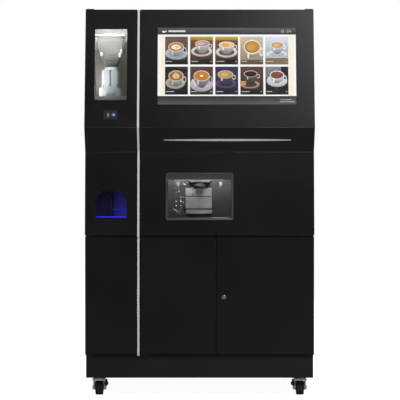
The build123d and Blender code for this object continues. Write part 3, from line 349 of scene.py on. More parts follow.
def glowFinish(name, values):
    # a lit surface: its colour shifts a little over its length, as a row of lamps does
    material, tree, shader, place = startMaterial(name)
    surface = addFineSurface(tree, place, {"Smudge Scale": values["smudgeScale"]})
    colour = mixSmudge(tree, surface, values["colours"])
    tree.links.new(colour, shader.inputs["Emission Color"])
    tree.links.new(colour, shader.inputs["Base Color"])
    setSockets(shader, {"Emission Strength": values["strength"], "Roughness": 0.4})
    return material


blackPanel = coatedFinish("blackPanelPaint", {
    "colours": ((8, 8, 9), (11, 11, 12)), "dust": (60, 60, 62), "dustAmount": 0.02,
    "rough": (0.34, 0.40), "grainScale": 700.0, "smudgeScale": 3.0, "bump": 0.08, "bumpDepth": 0.0004,
    "shine": 0.36})
cabinetPaint = coatedFinish("cabinetPowderCoat", {
    "colours": ((17, 17, 18), (21, 21, 22)), "dust": (70, 70, 72), "dustAmount": 0.04,
    "rough": (0.48, 0.58), "grainScale": 520.0, "smudgeScale": 2.2, "bump": 0.2, "bumpDepth": 0.0006,
    "shine": 0.4})
insidePaint = coatedFinish("compartmentPaint", {
    "colours": ((150, 148, 143), (176, 173, 166)), "dust": (120, 118, 112), "dustAmount": 0.1,
    "rough": (0.35, 0.5), "grainScale": 600.0, "smudgeScale": 4.0, "bumpDepth": 0.0004})
bezelPaint = coatedFinish("bezelPaint", {
    "colours": ((62, 63, 64), (76, 77, 78)), "dust": (110, 110, 112), "dustAmount": 0.05,
    "rough": (0.35, 0.45), "smudgeScale": 9.0})
platePaint = coatedFinish("chamberPlateFinish", {
    "colours": ((184, 184, 180), (206, 206, 202)), "dust": (130, 130, 128), "dustAmount": 0.06,
    "rough": (0.3, 0.42), "grainScale": 700.0, "smudgeScale": 9.0, "bump": 0.06, "metal": 0.2})
blackPlastic = coatedFinish("blackMouldedPlastic", {
    "colours": ((20, 20, 21), (28, 28, 29)), "dust": (80, 80, 82), "dustAmount": 0.06,
    "rough": (0.42, 0.55), "grainScale": 1100.0, "bump": 0.15})
greyPlastic = coatedFinish("greyMouldedPlastic", {
    "colours": ((112, 113, 116), (134, 135, 137)), "dust": (80, 80, 80), "dustAmount": 0.08,
    "rough": (0.4, 0.52), "grainScale": 1100.0, "bump": 0.12})
whitePlastic = coatedFinish("whiteMouldedPlastic", {
    "colours": ((214, 216, 220), (232, 233, 235)), "dust": (150, 148, 140), "dustAmount": 0.08,
    "rough": (0.3, 0.42), "grainScale": 1100.0})
beigePlastic = coatedFinish("beigeMouldedPlastic", {
    "colours": ((176, 166, 146), (198, 189, 170)), "dust": (120, 110, 95), "dustAmount": 0.1,
    "rough": (0.3, 0.4), "grainScale": 1000.0, "smudgeScale": 10.0})
tyreRubber = coatedFinish("tyreRubber", {
    "colours": ((26, 26, 27), (38, 38, 38)), "dust": (96, 92, 86), "dustAmount": 0.3,
    "rough": (0.6, 0.8), "smudgeScale": 30.0, "bump": 0.3, "bumpDepth": 0.0005})
waterPlastic = coatedFinish("waterBottlePlastic", {
    "colours": ((120, 158, 196), (150, 184, 214)), "dust": (200, 215, 228), "dustAmount": 0.05,
    "rough": (0.16, 0.26), "grainScale": 300.0, "smudgeScale": 4.0, "bumpDepth": 0.0006})
# the fork steel also glows though it is no lamp: painted light that lifts the forks out of the shade under the
# cabinet
castorSteelAndPaintedGlow = coatedFinish("castorForkSteelAndPaintedGlow", {
    "colours": ((168, 169, 171), (196, 197, 198)), "dust": (120, 118, 112), "dustAmount": 0.15,
    "rough": (0.4, 0.55), "grainScale": 800.0, "smudgeScale": 20.0, "bump": 0.12, "metal": 0.15,
    "paintedGlow": (120, 121, 122), "paintedGlowStrength": 0.55})
trayPaint = coatedFinish("trayPaint", {
    "colours": ((200, 201, 202), (216, 217, 218)), "dust": (150, 148, 140), "dustAmount": 0.08,
    "rough": (0.34, 0.46)})
grinderPlastic = coatedFinish("grinderBodyPlastic", {
    "colours": ((176, 178, 180), (196, 198, 200)), "dust": (140, 138, 130), "dustAmount": 0.08,
    "rough": (0.3, 0.42), "grainScale": 1100.0})
zincSteel = metalFinish("zincPlatedSteel", {
    "colours": ((128, 130, 134), (176, 178, 181)), "rough": (0.34, 0.5),
    "lineScale": 45.0, "bump": 0.12})
brushedSteel = metalFinish("brushedStainless", {
    "colours": ((150, 152, 155), (198, 199, 201)), "rough": (0.26, 0.38), "stretch": (0.5, 4, 14),
    "bump": 0.1})
stripAluminium = metalFinish("anodisedStrip", {
    "colours": ((228, 228, 230), (246, 246, 248)), "rough": (0.38, 0.48), "stretch": (14, 4, 0.3),
    "bump": 0.06, "metal": 0.25})
trimAluminium = metalFinish("satinTrim", {
    "colours": ((222, 222, 225), (246, 246, 248)), "rough": (0.2, 0.3), "stretch": (0.3, 10, 10),
    "lineScale": 50.0, "bump": 0.06, "metal": 0.7})
# lighter grey than the black panels: painted highlight for the bent edges and gaps
seamBeadPaintedHighlight = metalFinish("seamBeadWithPaintedHighlight", {
    "colours": ((62, 62, 65), (84, 84, 88)), "rough": (0.35, 0.5), "stretch": (0.5, 4, 4),
    "lineScale": 50.0, "bump": 0.05, "metal": 0.6})
chrome = metalFinish("platedBrightwork", {
    "colours": ((214, 215, 217), (232, 233, 234)), "rough": (0.12, 0.2),
    "bump": 0.03})
screenGlass = glassFinish("screenCoverGlass", {
    "colours": ((246, 247, 248), (252, 252, 253)), "rough": (0.02, 0.05), "smudgeScale": 6.0, "clear": 1.0,
    "bend": 1.3})
clearPane = glassFinish("clearPane", {
    "colours": ((226, 230, 231), (238, 241, 241)), "rough": (0.02, 0.06), "smudgeScale": 7.0, "clear": 1.0,
    "bend": 1.3})
hopperPlastic = glassFinish("clearHopperPlastic", {
    "colours": ((222, 222, 218), (238, 238, 234)), "rough": (0.06, 0.14), "smudgeScale": 12.0, "clear": 0.92,
    "bend": 1.25})
coolLamp = glowFinish("coolLampStrip", {"colours": ((255, 248, 236), (255, 253, 248)), "smudgeScale": 40.0,
                                        "strength": 1.4})
chamberLamp = glowFinish("chamberLamp", {"colours": ((236, 240, 246), (255, 255, 255)), "smudgeScale": 40.0,
                                         "strength": 0.16})
dotLamp = glowFinish("dotLamp", {"colours": ((210, 214, 220), (250, 250, 255)), "smudgeScale": 60.0,
                                 "strength": 0.9})
blueLamp = glowFinish("bluePortLamp", {"colours": ((34, 22, 190), (58, 44, 236)), "smudgeScale": 14.0,
                                       "strength": 0.75})
whiteMark = glowFinish("whiteMark", {"colours": ((150, 152, 158), (176, 178, 182)), "smudgeScale": 30.0,
                                     "strength": 0.35})
blueMark = glowFinish("blueMark", {"colours": ((96, 116, 186), (120, 140, 206)), "smudgeScale": 30.0,
                                   "strength": 0.35})
chamberSteel = metalFinish("chamberSteel", {
    "colours": ((70, 71, 71), (92, 93, 93)), "rough": (0.42, 0.56), "stretch": (0.5, 4, 14), "bump": 0.1})
# the hood's grey paint also glows though it is no lamp: painted light
hoodPaintAndPaintedGlow = coatedFinish("chamberHoodPaintAndPaintedGlow", {
    "colours": ((58, 59, 59), (70, 71, 71)), "dust": (90, 90, 90), "dustAmount": 0.05, "rough": (0.4, 0.5),
    "smudgeScale": 9.0, "paintedGlow": (70, 71, 70), "paintedGlowStrength": 0.7})
print("stage: finishes made")

finishByNode = {
    "display_panel": blackPanel, "upper_right_slope_panel": blackPanel, "delivery_panel": blackPanel,
    "upper_left_window_panel": blackPanel, "upper_left_slope_panel": blackPanel,
    "upper_left_port_panel": blackPanel,
    "lower_left_door": blackPanel, "lower_middle_door": blackPanel, "lower_right_door": blackPanel,
    "upper_left_door_frame": cabinetPaint, "upper_right_door_frame": cabinetPaint,
    "side_panel_left": cabinetPaint,
    "side_panel_right": cabinetPaint, "roof_panel": cabinetPaint, "back_panel": cabinetPaint,
    "base_chassis": cabinetPaint,
    "face_frame": cabinetPaint, "partition_wall": cabinetPaint, "silver_strip": stripAluminium,
    "slope_trim": trimAluminium,
    "mid_deck": zincSteel, "hinge_plates": cabinetPaint, "mixer_shelf": zincSteel, "grinder_shelf": trayPaint,
    "delivery_chamber": brushedSteel, "drip_tray": brushedSteel, "nozzle_head": blackPlastic,
    "delivery_bezel": bezelPaint,
    "delivery_door": clearPane, "hopper_window": clearPane, "display_glass": screenGlass,
    "bean_hopper": hopperPlastic,
    "hopper_lid": whitePlastic, "grinder": grinderPlastic, "brewer_housing": blackPlastic,
    "brewer_piston": zincSteel,
    "powder_canisters": whitePlastic, "mixing_chambers": greyPlastic, "cup_dispenser": blackPlastic,
    "cup_turret": whitePlastic, "boiler": brushedSteel, "control_box": zincSteel,
    "water_bottles": waterPlastic,
    "grounds_bin": blackPlastic, "waste_bucket": whitePlastic, "service_inlets": chrome,
    "lock_barrel": zincSteel,
    "lift_pinion": zincSteel, "lift_motor": blackPlastic, "payment_reader": blackPlastic,
}
for name, piece in nodes.items():
    if name.startswith("castor_wheel"):
        chosen = tyreRubber
    elif name.startswith("castor_fork"):
        chosen = zincSteel
    else:
        chosen = finishByNode.get(name, blackPlastic)
    if not piece.material_slots:
        piece.data.materials.append(chosen)
    for place in piece.material_slots:
        place.material = chosen


# camera, floor and light
studio = {"eye": (0.002, -6.364, 1.002), "lens": 106.7, "sensor": 36, "reach": 200, "floorSize": 60.0,
          "fill": 0.14,
          "floorLift": 0.95}
clearSelection()
bpy.ops.object.camera_add(location=studio["eye"], rotation=(math.radians(90), 0, 0))
camera = bpy.context.active_object
camera.data.lens = studio["lens"]
camera.data.sensor_width = studio["sensor"]
camera.data.clip_end = studio["reach"]
bpy.context.scene.camera = camera
bpy.context.scene.view_settings.view_transform = "Standard"

# the floor and the world look white to the camera and light the machine much less
clearSelection()
bpy.ops.mesh.primitive_plane_add(size=studio["floorSize"], location=(0, 0, 0))
floor = namePiece("studioFloor")
floorMaterial, tree, shader, place = startMaterial("paleFloor")
noise = addNode(tree, "TexNoise", {"Scale": 1.5})
tree.links.new(place.outputs["Object"], noise.inputs["Vector"])
tree.links.new(mixColour(tree, noise.outputs[0], tint(168, 168, 168), tint(176, 176, 176)),
               shader.inputs["Base Color"])
path = addNode(tree, "LightPath")
lift = addNode(tree, "Math", {1: studio["floorLift"]}, operation="MULTIPLY")
tree.links.new(path.outputs["Is Camera Ray"], lift.inputs[0])
tree.links.new(lift.outputs[0], shader.inputs["Emission Strength"])
setSockets(shader, {"Roughness": 0.9, "Specular IOR Level": 0.0, "Emission Color": (1, 1, 1, 1)})
floor.data.materials.append(floorMaterial)

world = bpy.data.worlds.new("studio")
bpy.context.scene.world = world
world.use_nodes = True
sky = world.node_tree.nodes["Background"]
setSockets(sky, {"Color": (1, 1, 1, 1)})
worldPath = addNode(world.node_tree, "LightPath")
worldRange = addNode(world.node_tree, "MapRange", {"To Min": studio["fill"], "To Max": 1.0})
world.node_tree.links.new(worldPath.outputs["Is Camera Ray"], worldRange.inputs["Value"])
world.node_tree.links.new(worldRange.outputs["Result"], sky.inputs["Strength"])


def addSoftbox(name, place, aim, size, power):
    clearSelection()
    turn = (Vector(aim) - Vector(place)).to_track_quat("-Z", "Y").to_euler()
    bpy.ops.object.light_add(type="AREA", location=place, rotation=turn)
    lamp = bpy.context.active_object
    lamp.name = name
    lamp.data.shape = "RECTANGLE"
    lamp.data.size, lamp.data.size_y = size
    lamp.data.energy = power
    return lamp


addSoftbox("upperRightSoftbox", (2.4, -4.4, 4.6), (0.4, 0, 1.4), (2.0, 2.0), 210)
addSoftbox("leftSoftbox", (-4.2, -3.6, 2.6), (0, 0, 1.0), (2.0, 3.0), 30)
addSoftbox("backSoftbox", (1.5, 4.6, 3.4), (0, 0, 1.0), (3.0, 3.0), 120)
addSoftbox("topSoftbox", (0, 0.5, 5.0), (0, 0, 1.0), (3.0, 3.0), 90)
print("stage: studio ready")


# the screen picture
screen = facetOf("display_glass")
screenLow, screenHigh = low("display_glass"), high("display_glass")
screenWide = screenHigh.x - screenLow.x
screenTall = (screen[0] - screen[1]).length
screenMiddle = (screenLow.x + screenHigh.x) / 2
glassThick = 0.003
moduleEdge = 0.009
layerStep = 0.00008
pictureParts = []


def colourAll(piece, colour, lowColour=None):
    attribute = piece.data.color_attributes.new("pictureColour", "FLOAT_COLOR", "POINT")
    lowest = min(v.co.y for v in piece.data.vertices)
    highest = max(v.co.y for v in piece.data.vertices)
    for vertex in piece.data.vertices:
        share = (vertex.co.y - lowest) / max(highest - lowest, 1e-6)
        value = colour if lowColour is None else [a * share + b * (1 - share) for a,
                                                  b in zip(colour, lowColour)]
        attribute.data[vertex.index].color = value


def setPart(piece, x, y, halves, layer, colour, lowColour):
    # x and y are the middle, in millimetres from the picture's upper left corner
    piece.scale = (halves[0] / 1000, halves[1] / 1000, 1)
    piece.location = (x / 1000 - screenWide / 2, screenTall / 2 - y / 1000, layer * layerStep)
    settle(piece)
    colourAll(piece, tint(*colour), tint(*lowColour) if lowColour else None)
    pictureParts.append(piece)


def drawRect(x, y, wide, tall, colour, layer, lowColour=None):  # x and y are its upper left corner
    clearSelection()
    bpy.ops.mesh.primitive_plane_add(size=1)
    setPart(namePiece("pictureRect"), x + wide / 2, y + tall / 2, (wide, tall), layer, colour, lowColour)


def drawOval(x, y, halfWide, halfTall, colour, layer, lowColour=None, sides=36, turn=0.0):
    clearSelection()
    bpy.ops.mesh.primitive_circle_add(vertices=sides, radius=1, fill_type="NGON", rotation=(0, 0, 0))
    piece = namePiece("pictureOval")
    piece.rotation_euler = (0, 0, turn)
    setPart(piece, x, y, (halfWide, halfTall), layer, colour, lowColour)


def shade(colour, amount):
    return [channel * amount for channel in colour]


def drawCup(left, top, cup):
    # a cup seen from above and in front; places are shares of the tile
    wide, tall = picture["tileWide"], picture["tileTall"]
    if "saucer" in cup:
        x, y, halfWide, halfTall = cup["saucer"]
        x, y = left + x * wide, top + y * tall
        halfWide, halfTall = halfWide * wide, halfTall * tall
        drawOval(x, y + 3, halfWide, halfTall, shade(cup["plate"], 0.6), 3)
        drawOval(x, y, halfWide, halfTall, cup["plate"], 3.5, shade(cup["plate"], 0.8))
        drawOval(x, y + 1, halfWide * 0.72, halfTall * 0.66, cup.get("deep", shade(cup["plate"], 0.78)), 4)
    x, y, halfWide, halfTall = cup["rim"]
    x, y = left + x * wide, top + y * tall
    halfWide, halfTall = halfWide * wide, halfTall * tall
    handleX = x + halfWide * 1.08
    drawOval(handleX, y + halfTall * 0.7, halfWide * 0.28, halfTall * 0.62, cup.get("handle", cup["body"]),
             4.5)
    drawOval(handleX + 1, y + halfTall * 0.7, halfWide * 0.15, halfTall * 0.36, cup.get("hole", cup["low"]),
             5)
    steps = 7
    for step in range(steps, -1, -1):
        share = step / steps
        drawOval(x, y + share * (cup["foot"] * tall - (y - top)),
                 halfWide * (1 - 0.12 * share - 0.42 * share ** 3),
                 halfTall * (1 - 0.45 * share), shade(cup["body"], 0.96 - 0.3 * share),
                 6 + (steps - step) * 0.25,
                 shade(cup["body"], 0.8 - 0.3 * share))
    drawOval(x, y, halfWide, halfTall, cup["lip"], 8.5)
    drawOval(x, y + 0.5, halfWide * 0.9, halfTall * 0.86, shade(cup["coffee"], 0.72), 9)
    drawOval(x, y + 1, halfWide * 0.84, halfTall * 0.78, cup["coffee"], 9.5, shade(cup["coffee"], 0.88))
    art, cream = cup.get("art"), cup.get("cream")
    if art == "leaf":
        drawOval(x, y + 1, halfWide * 0.62, halfTall * 0.56, cream, 10)
        drawOval(x + 2, y + 2, halfWide * 0.42, halfTall * 0.20, cup["coffee"], 10.5, turn=0.5)
        drawOval(x + 3, y + 1, halfWide * 0.30, halfTall * 0.10, cream, 11, turn=0.5)
        drawOval(x - halfWide * 0.2, y + halfTall * 0.25, halfWide * 0.16, halfTall * 0.2, cream, 11.5)
    elif art == "tree":
        drawOval(x, y + 2, halfWide * 0.44, halfTall * 0.5, cream, 10)
        drawOval(x, y - halfTall * 0.3, halfWide * 0.16, halfTall * 0.34, cream, 10.5, turn=0.2)
        drawOval(x, y + 2, halfWide * 0.06, halfTall * 0.42, shade(cup["coffee"], 1.05), 11, turn=0.2)
    elif art == "dot":
        drawOval(x, y, halfWide * 0.2, halfTall * 0.2, cream, 10)
    elif art == "swirl":
        drawOval(x - halfWide * 0.2, y, halfWide * 0.42, halfTall * 0.36, cream, 10)
        drawOval(x - halfWide * 0.14, y, halfWide * 0.24, halfTall * 0.18, cup["coffee"], 10.5)
    elif art == "pool":
        drawOval(x - halfWide * 0.12, y + 1, halfWide * 0.5, halfTall * 0.5, cream, 10)
    drawOval(x - halfWide * 0.45, y + halfTall * 1.2, halfWide * 0.10, halfTall * 0.5,
             shade(cup["lip"], 0.98), 8.2)


picture = {"headerTall": 35, "footerTop": 354, "firstColumn": 37, "columnStep": 127, "tileWide": 116,
           "firstRow": 46, "secondRow": 202, "tileTall": 145}
drawRect(0, 0, 700, 397, (254, 254, 252), 0)
drawRect(16, picture["headerTall"], 20, 319, (253, 247, 228), 1)    # cream side bands
drawRect(656, picture["headerTall"], 30, 319, (253, 247, 228), 1)
drawRect(0, 0, 700, 18, (86, 87, 90), 1, (62, 63, 66))              # header
drawRect(0, 18, 700, 17, (62, 63, 66), 1, (26, 26, 28))
drawRect(0, picture["footerTop"], 700, 16, (30, 30, 32), 1, (52, 52, 55))
drawRect(0, picture["footerTop"] + 16, 700, 27, (52, 52, 55), 1, (84, 84, 87))
drawRect(618, 370, 58, 3.0, (176, 178, 182), 2)
drawRect(618, 381, 74, 3.6, (186, 188, 192), 2)
drawOval(30, 19, 9, 7, (236, 238, 240), 2)                          # plain cup sign and bar
drawRect(21, 10, 18, 8, (72, 73, 76), 3)
drawOval(30, 18, 9, 2.2, (236, 238, 240), 3.5)
drawOval(41, 19, 4, 3.4, (236, 238, 240), 1.5)
drawRect(54, 13, 86, 9, (228, 230, 232), 2)

digitSegments = {"0": "abcdef", "1": "bc", "2": "abged", "4": "fgbc", "5": "afgcd", ":": ""}
segmentPlaces = {"a": (0, 0, 8, 1.5), "b": (6.6, 0, 1.5, 7), "c": (6.6, 6.6, 1.5, 7), "d": (0, 12, 8, 1.5),
                 "e": (0, 6.6, 1.5, 7), "f": (0, 0, 1.5, 7), "g": (0, 6, 8, 1.5)}
clock = {"x": 620, "y": 12, "step": 12, "reading": "10:24"}
for index, sign in enumerate(clock["reading"]):
    left = clock["x"] + index * clock["step"]
    if sign == ":":
        drawRect(left + 3.5, clock["y"] + 3.2, 1.8, 1.8, (222, 224, 228), 3)
        drawRect(left + 3.5, clock["y"] + 8.6, 1.8, 1.8, (222, 224, 228), 3)
    for segment in digitSegments[sign]:
        dx, dy, wide, tall = segmentPlaces[segment]
        drawRect(left + dx, clock["y"] + dy, wide, tall, (222, 224, 228), 3)

tiles = [
    {"back": (112, 84, 66), "low": (10, 7, 6), "rim": (0.48, 0.37, 0.34, 0.17), "foot": 0.62,
     "body": (214, 218, 224),
     "lip": (226, 214, 200), "coffee": (196, 118, 50), "art": "leaf", "cream": (250, 232, 196),
     "saucer": (0.5, 0.60, 0.49, 0.21), "plate": (196, 204, 214), "handle": (190, 196, 204)},
    {"back": (128, 78, 44), "low": (10, 6, 5), "band": (206, 172, 28), "rim": (0.54, 0.25, 0.31, 0.115),
     "foot": 0.55,
     "body": (238, 226, 224), "lip": (246, 240, 238), "coffee": (196, 158, 156), "art": "swirl",
     "cream": (232, 206, 200),
     "saucer": (0.5, 0.52, 0.46, 0.18), "plate": (236, 232, 228), "deep": (92, 62, 54)},
    {"back": (122, 74, 40), "low": (10, 6, 5), "band": (210, 178, 30), "rim": (0.5, 0.29, 0.34, 0.115),
     "foot": 0.57,
     "body": (240, 232, 226), "lip": (250, 246, 238), "coffee": (244, 222, 172), "art": "pool",
     "cream": (240, 164, 78),
     "saucer": (0.5, 0.55, 0.47, 0.19), "plate": (238, 234, 230), "deep": (96, 64, 54)},
    {"back": (214, 196, 170), "low": (150, 126, 100), "rim": (0.52, 0.37, 0.37, 0.25), "foot": 0.60,
     "body": (240, 226, 208),
     "lip": (252, 246, 236), "coffee": (204, 142, 44), "art": "pool", "cream": (216, 156, 58),
     "hole": (196, 170, 140)},
    {"back": (226, 232, 240), "low": (206, 214, 224), "rim": (0.52, 0.30, 0.29, 0.12), "foot": 0.56,
     "body": (244, 246, 249),
     "lip": (252, 252, 253), "coffee": (216, 162, 112), "art": "pool", "cream": (226, 178, 130),
     "saucer": (0.5, 0.64, 0.46, 0.14), "plate": (240, 243, 247), "caption": (126, 106, 76)},
    {"back": (34, 26, 20), "low": (5, 4, 4), "rim": (0.48, 0.33, 0.33, 0.19), "foot": 0.60,
     "body": (206, 200, 194),
     "lip": (222, 206, 184), "coffee": (176, 112, 50), "art": "tree", "cream": (232, 208, 160),
     "saucer": (0.45, 0.58, 0.42, 0.20), "plate": (196, 192, 188), "deep": (150, 132, 120)},
    {"back": (92, 54, 42), "low": (70, 62, 62), "rim": (0.5, 0.33, 0.35, 0.19), "foot": 0.66,
     "body": (178, 164, 172),
     "lip": (232, 216, 204), "coffee": (218, 134, 42), "art": "dot", "cream": (254, 246, 232),
     "saucer": (0.5, 0.62, 0.5, 0.26), "plate": (206, 206, 212), "deep": (188, 186, 194), "spoon": True},
    {"back": (52, 36, 84), "low": (20, 12, 28), "rim": (0.44, 0.28, 0.34, 0.14), "foot": 0.56,
     "body": (92, 80, 122),
     "lip": (226, 218, 170), "coffee": (198, 160, 88), "art": "pool", "cream": (208, 172, 104),
     "saucer": (0.47, 0.60, 0.44, 0.16), "plate": (96, 78, 110), "deep": (44, 34, 70),
     "handle": (214, 200, 168)},
    {"back": (92, 52, 34), "low": (12, 8, 7), "rim": (0.45, 0.26, 0.30, 0.12), "foot": 0.58,
     "body": (98, 86, 80),
     "lip": (214, 204, 194), "coffee": (40, 22, 14), "saucer": (0.42, 0.63, 0.41, 0.14),
     "plate": (182, 162, 138),
     "deep": (60, 46, 38), "handle": (206, 196, 184), "biscuits": True},
    {"back": (128, 132, 138), "low": (12, 12, 13), "rim": (0.5, 0.30, 0.31, 0.15), "foot": 0.52,
     "body": (238, 238, 240),
     "lip": (252, 252, 252), "coffee": (132, 66, 48), "saucer": (0.5, 0.50, 0.45, 0.21),
     "plate": (232, 232, 235),
     "deep": (206, 206, 212), "night": True},
]
for index, tile in enumerate(tiles):
    column, row = index % 5, index // 5
    left = picture["firstColumn"] + column * picture["columnStep"]
    top = picture["firstRow"] if row == 0 else picture["secondRow"]
    wide, tall = picture["tileWide"], picture["tileTall"]
    drawRect(left, top, wide, tall * 0.5, tile["back"], 2, shade(tile["back"], 0.8))
    drawRect(left, top + tall * 0.5, wide, tall * 0.5, shade(tile["back"], 0.8), 2, tile["low"])
    if "band" in tile:
        drawRect(left, top, wide, tall * 0.13, tile["band"], 2.5, shade(tile["band"], 0.75))
    if tile.get("night"):
        drawRect(left + wide * 0.68, top, wide * 0.32, tall * 0.5, (14, 14, 15), 2.5)
        drawRect(left, top + tall * 0.4, wide, tall * 0.6, (20, 20, 21), 2.5, (8, 8, 9))
    drawCup(left, top, tile)
    if tile.get("biscuits"):
        for dx, dy in ((0.10, 0.56), (0.18, 0.63), (0.08, 0.66)):
            drawOval(left + dx * wide, top + dy * tall, 9, 7, (168, 118, 66), 9)
            drawOval(left + dx * wide - 1, top + dy * tall - 1, 7, 5, (214, 166, 104), 9.5)
    if tile.get("spoon"):
        drawOval(left + wide * 0.20, top + tall * 0.60, 3.0, 26, (232, 234, 238), 9, turn=0.5)
        drawOval(left + wide * 0.31, top + tall * 0.76, 6, 9, (168, 168, 176), 9.5, turn=0.5)
    if "caption" in tile:
        drawRect(left, top + tall * 0.77, wide, tall * 0.23, tile["caption"], 12)
    else:
        drawRect(left, top + tall * 0.84, wide, tall * 0.16, shade(tile["low"], 0.6), 2.8)
    drawRect(left + 6, top + tall * 0.88, 28 + 6 * (index % 3), 3.2, (214, 212, 208), 12.5)
    if index % 5 != 0:
        drawRect(left + wide - 15, top + tall * 0.88, 9, 3.2, (190, 188, 184), 12.5)

screenPicture = joinAll("screenPicture", pictureParts)
useModifier(screenPicture, "SOLIDIFY", thickness=layerStep * 0.8, offset=-1)
placeOn(screenPicture, screen, screenMiddle, screenTall / 2, -glassThick - 16 * layerStep)
pictureLight, tree, shader, place = startMaterial("screenImage")
attribute = addNode(tree, "Attribute", attribute_name="pictureColour")
tree.links.new(attribute.outputs["Color"], shader.inputs["Emission Color"])
setSockets(shader, {"Base Color": (0.01, 0.01, 0.01, 1), "Emission Strength": 1.0, "Roughness": 0.5})
finishPiece(screenPicture, pictureLight, "upper_right_door")

module = {"depth": 0.0205, "edge": 0.001}
screenModule = addBlock("screenModule", (-screenWide / 2 - moduleEdge, -screenTall / 2 - moduleEdge,
                                         -module["depth"]),
                        (screenWide / 2 + moduleEdge, screenTall / 2 + moduleEdge, 0), module["edge"])
placeOn(screenModule, screen, screenMiddle, screenTall / 2, -glassThick - 18 * layerStep)
finishPiece(screenModule, blackPlastic, "upper_right_door")
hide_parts("display_module")
print("stage: screen drawn")

# seams along the front: grey satin beads at the folds, the slope's foot and the middle door gap; their lighter grey
# paints the highlight these edges catch
displayFace = facetOf("display_panel")
slopeFace = facetOf("upper_right_slope_panel")
deliveryFace = facetOf("delivery_panel")
bead = {"radius": 0.0011, "sink": 0.0012, "inset": 0.001, "sides": 16, "edge": 0.0003}
footEdge = {"front": 0.0004, "back": 0.0034, "bottom": 0.0012, "top": 0.0002}
columns = {"left": "upper_left", "right": "upper_right"}
for side, prefix in columns.items():
    xLow, xHigh = low(prefix + "_slope_panel").x + bead["inset"], high(prefix + "_slope_panel").x - bead["inset"]
    lines = {"nose": (displayFace[1] + slopeFace[0]) / 2, "recess": (slopeFace[1] + deliveryFace[0]) / 2}
    for line, point in lines.items():
        y = point.y + bead["sink"]
        strip = addRod(line + "Bead_" + side, (xLow, y, point.z), (xHigh, y, point.z), bead["radius"],
                       bead["sides"], bead["edge"])
        finishPiece(strip, seamBeadPaintedHighlight, prefix + "_door")
    foot = deliveryFace[1]
    fitBlock("footEdge_" + side, (xLow, foot.y + footEdge["front"], foot.z - footEdge["bottom"]),
             (xHigh, foot.y + footEdge["back"], foot.z - footEdge["top"]), bead["edge"], seamBeadPaintedHighlight,
             prefix + "_door")

doorEdge = {"gap": 0.0002, "wide": 0.0012, "front": 0.003, "back": 0.02, "end": 0.003}
doorLow, doorHigh = low("lower_middle_door"), high("lower_middle_door")
doorX = doorHigh.x + doorEdge["gap"]
fitBlock("middleDoorEdge", (doorX, doorLow.y + doorEdge["front"], doorLow.z + doorEdge["end"]),
         (doorX + doorEdge["wide"], doorLow.y + doorEdge["back"], doorHigh.z - doorEdge["end"]), bead["edge"],
         seamBeadPaintedHighlight, "lower_middle_door")
print("stage: seams added")

# hopper bay: a lined and lit compartment behind the window
hopperLow, hopperHigh = low("bean_hopper"), high("bean_hopper")
grinderLow, grinderHigh = low("grinder"), high("grinder")
shelfLow, shelfHigh = low("grinder_shelf"), high("grinder_shelf")
paneFace = facetOf("hopper_window")
paneLow, paneHigh = low("hopper_window"), high("hopper_window")
paneTall = (paneFace[0] - paneFace[1]).length
hopperX = (hopperLow.x + hopperHigh.x) / 2
hopperY = (hopperLow.y + hopperHigh.y) / 2
bay = {"behind": 0.014, "roofGap": 0.0015, "wall": 0.0015, "side": 0.004, "shelf": 0.0035, "front": 0.008,
       "edge": 0.0004}
bayBack = grinderHigh.y + bay["behind"]
bayTop = low("roof_panel").z - bay["roofGap"]
bayFront = shelfLow.y + bay["front"]
bayLeft, bayRight = high("side_panel_left").x + bay["side"], shelfHigh.x - bay["shelf"]
bayFloor = shelfLow.z + bay["shelf"]
liner = joinAll("bayLiner", [
    addBlock("bayBack", (bayLeft, bayBack, bayFloor), (bayRight, bayBack + bay["wall"], bayTop), bay["edge"]),
    addBlock("bayLeft", (bayLeft, bayFront, bayFloor), (bayLeft + bay["wall"], bayBack, bayTop), bay["edge"]),
    addBlock("bayRight", (bayRight - bay["wall"], bayFront, bayFloor), (bayRight, bayBack, bayTop),
             bay["edge"]),
    addBlock("bayTop", (bayLeft, bayFront, bayTop - bay["wall"]), (bayRight, bayBack, bayTop), bay["edge"])])
finishPiece(liner, insidePaint, "cabinet")

windowLamp = {"wide": 0.007, "thick": 0.004, "short": 0.03, "inset": 0.004, "behind": -0.0055, "edge": 0.0006}
for side, x in (("left", paneLow.x + windowLamp["inset"]), ("right", paneHigh.x - windowLamp["inset"])):
    halfWide, halfTall = windowLamp["wide"] / 2, paneTall / 2 - windowLamp["short"]
    strip = addBlock("windowLamp_" + side, (-halfWide, -halfTall, -windowLamp["thick"]),
                     (halfWide, halfTall, 0), windowLamp["edge"])
    placeOn(strip, paneFace, x, paneTall / 2, windowLamp["behind"])
    finishPiece(strip, coolLamp, "upper_left_door")
roofLamp = {"side": 0.03, "front": 0.02, "back": 0.05, "bottom": 0.012, "top": 0.004, "edge": 0.001}
fitBlock("bayLamp", (bayLeft + roofLamp["side"], shelfLow.y + roofLamp["front"], bayTop - roofLamp["bottom"]),
         (bayRight - roofLamp["side"], shelfLow.y + roofLamp["back"], bayTop - roofLamp["top"]),
         roofLamp["edge"],
         coolLamp, "cabinet")

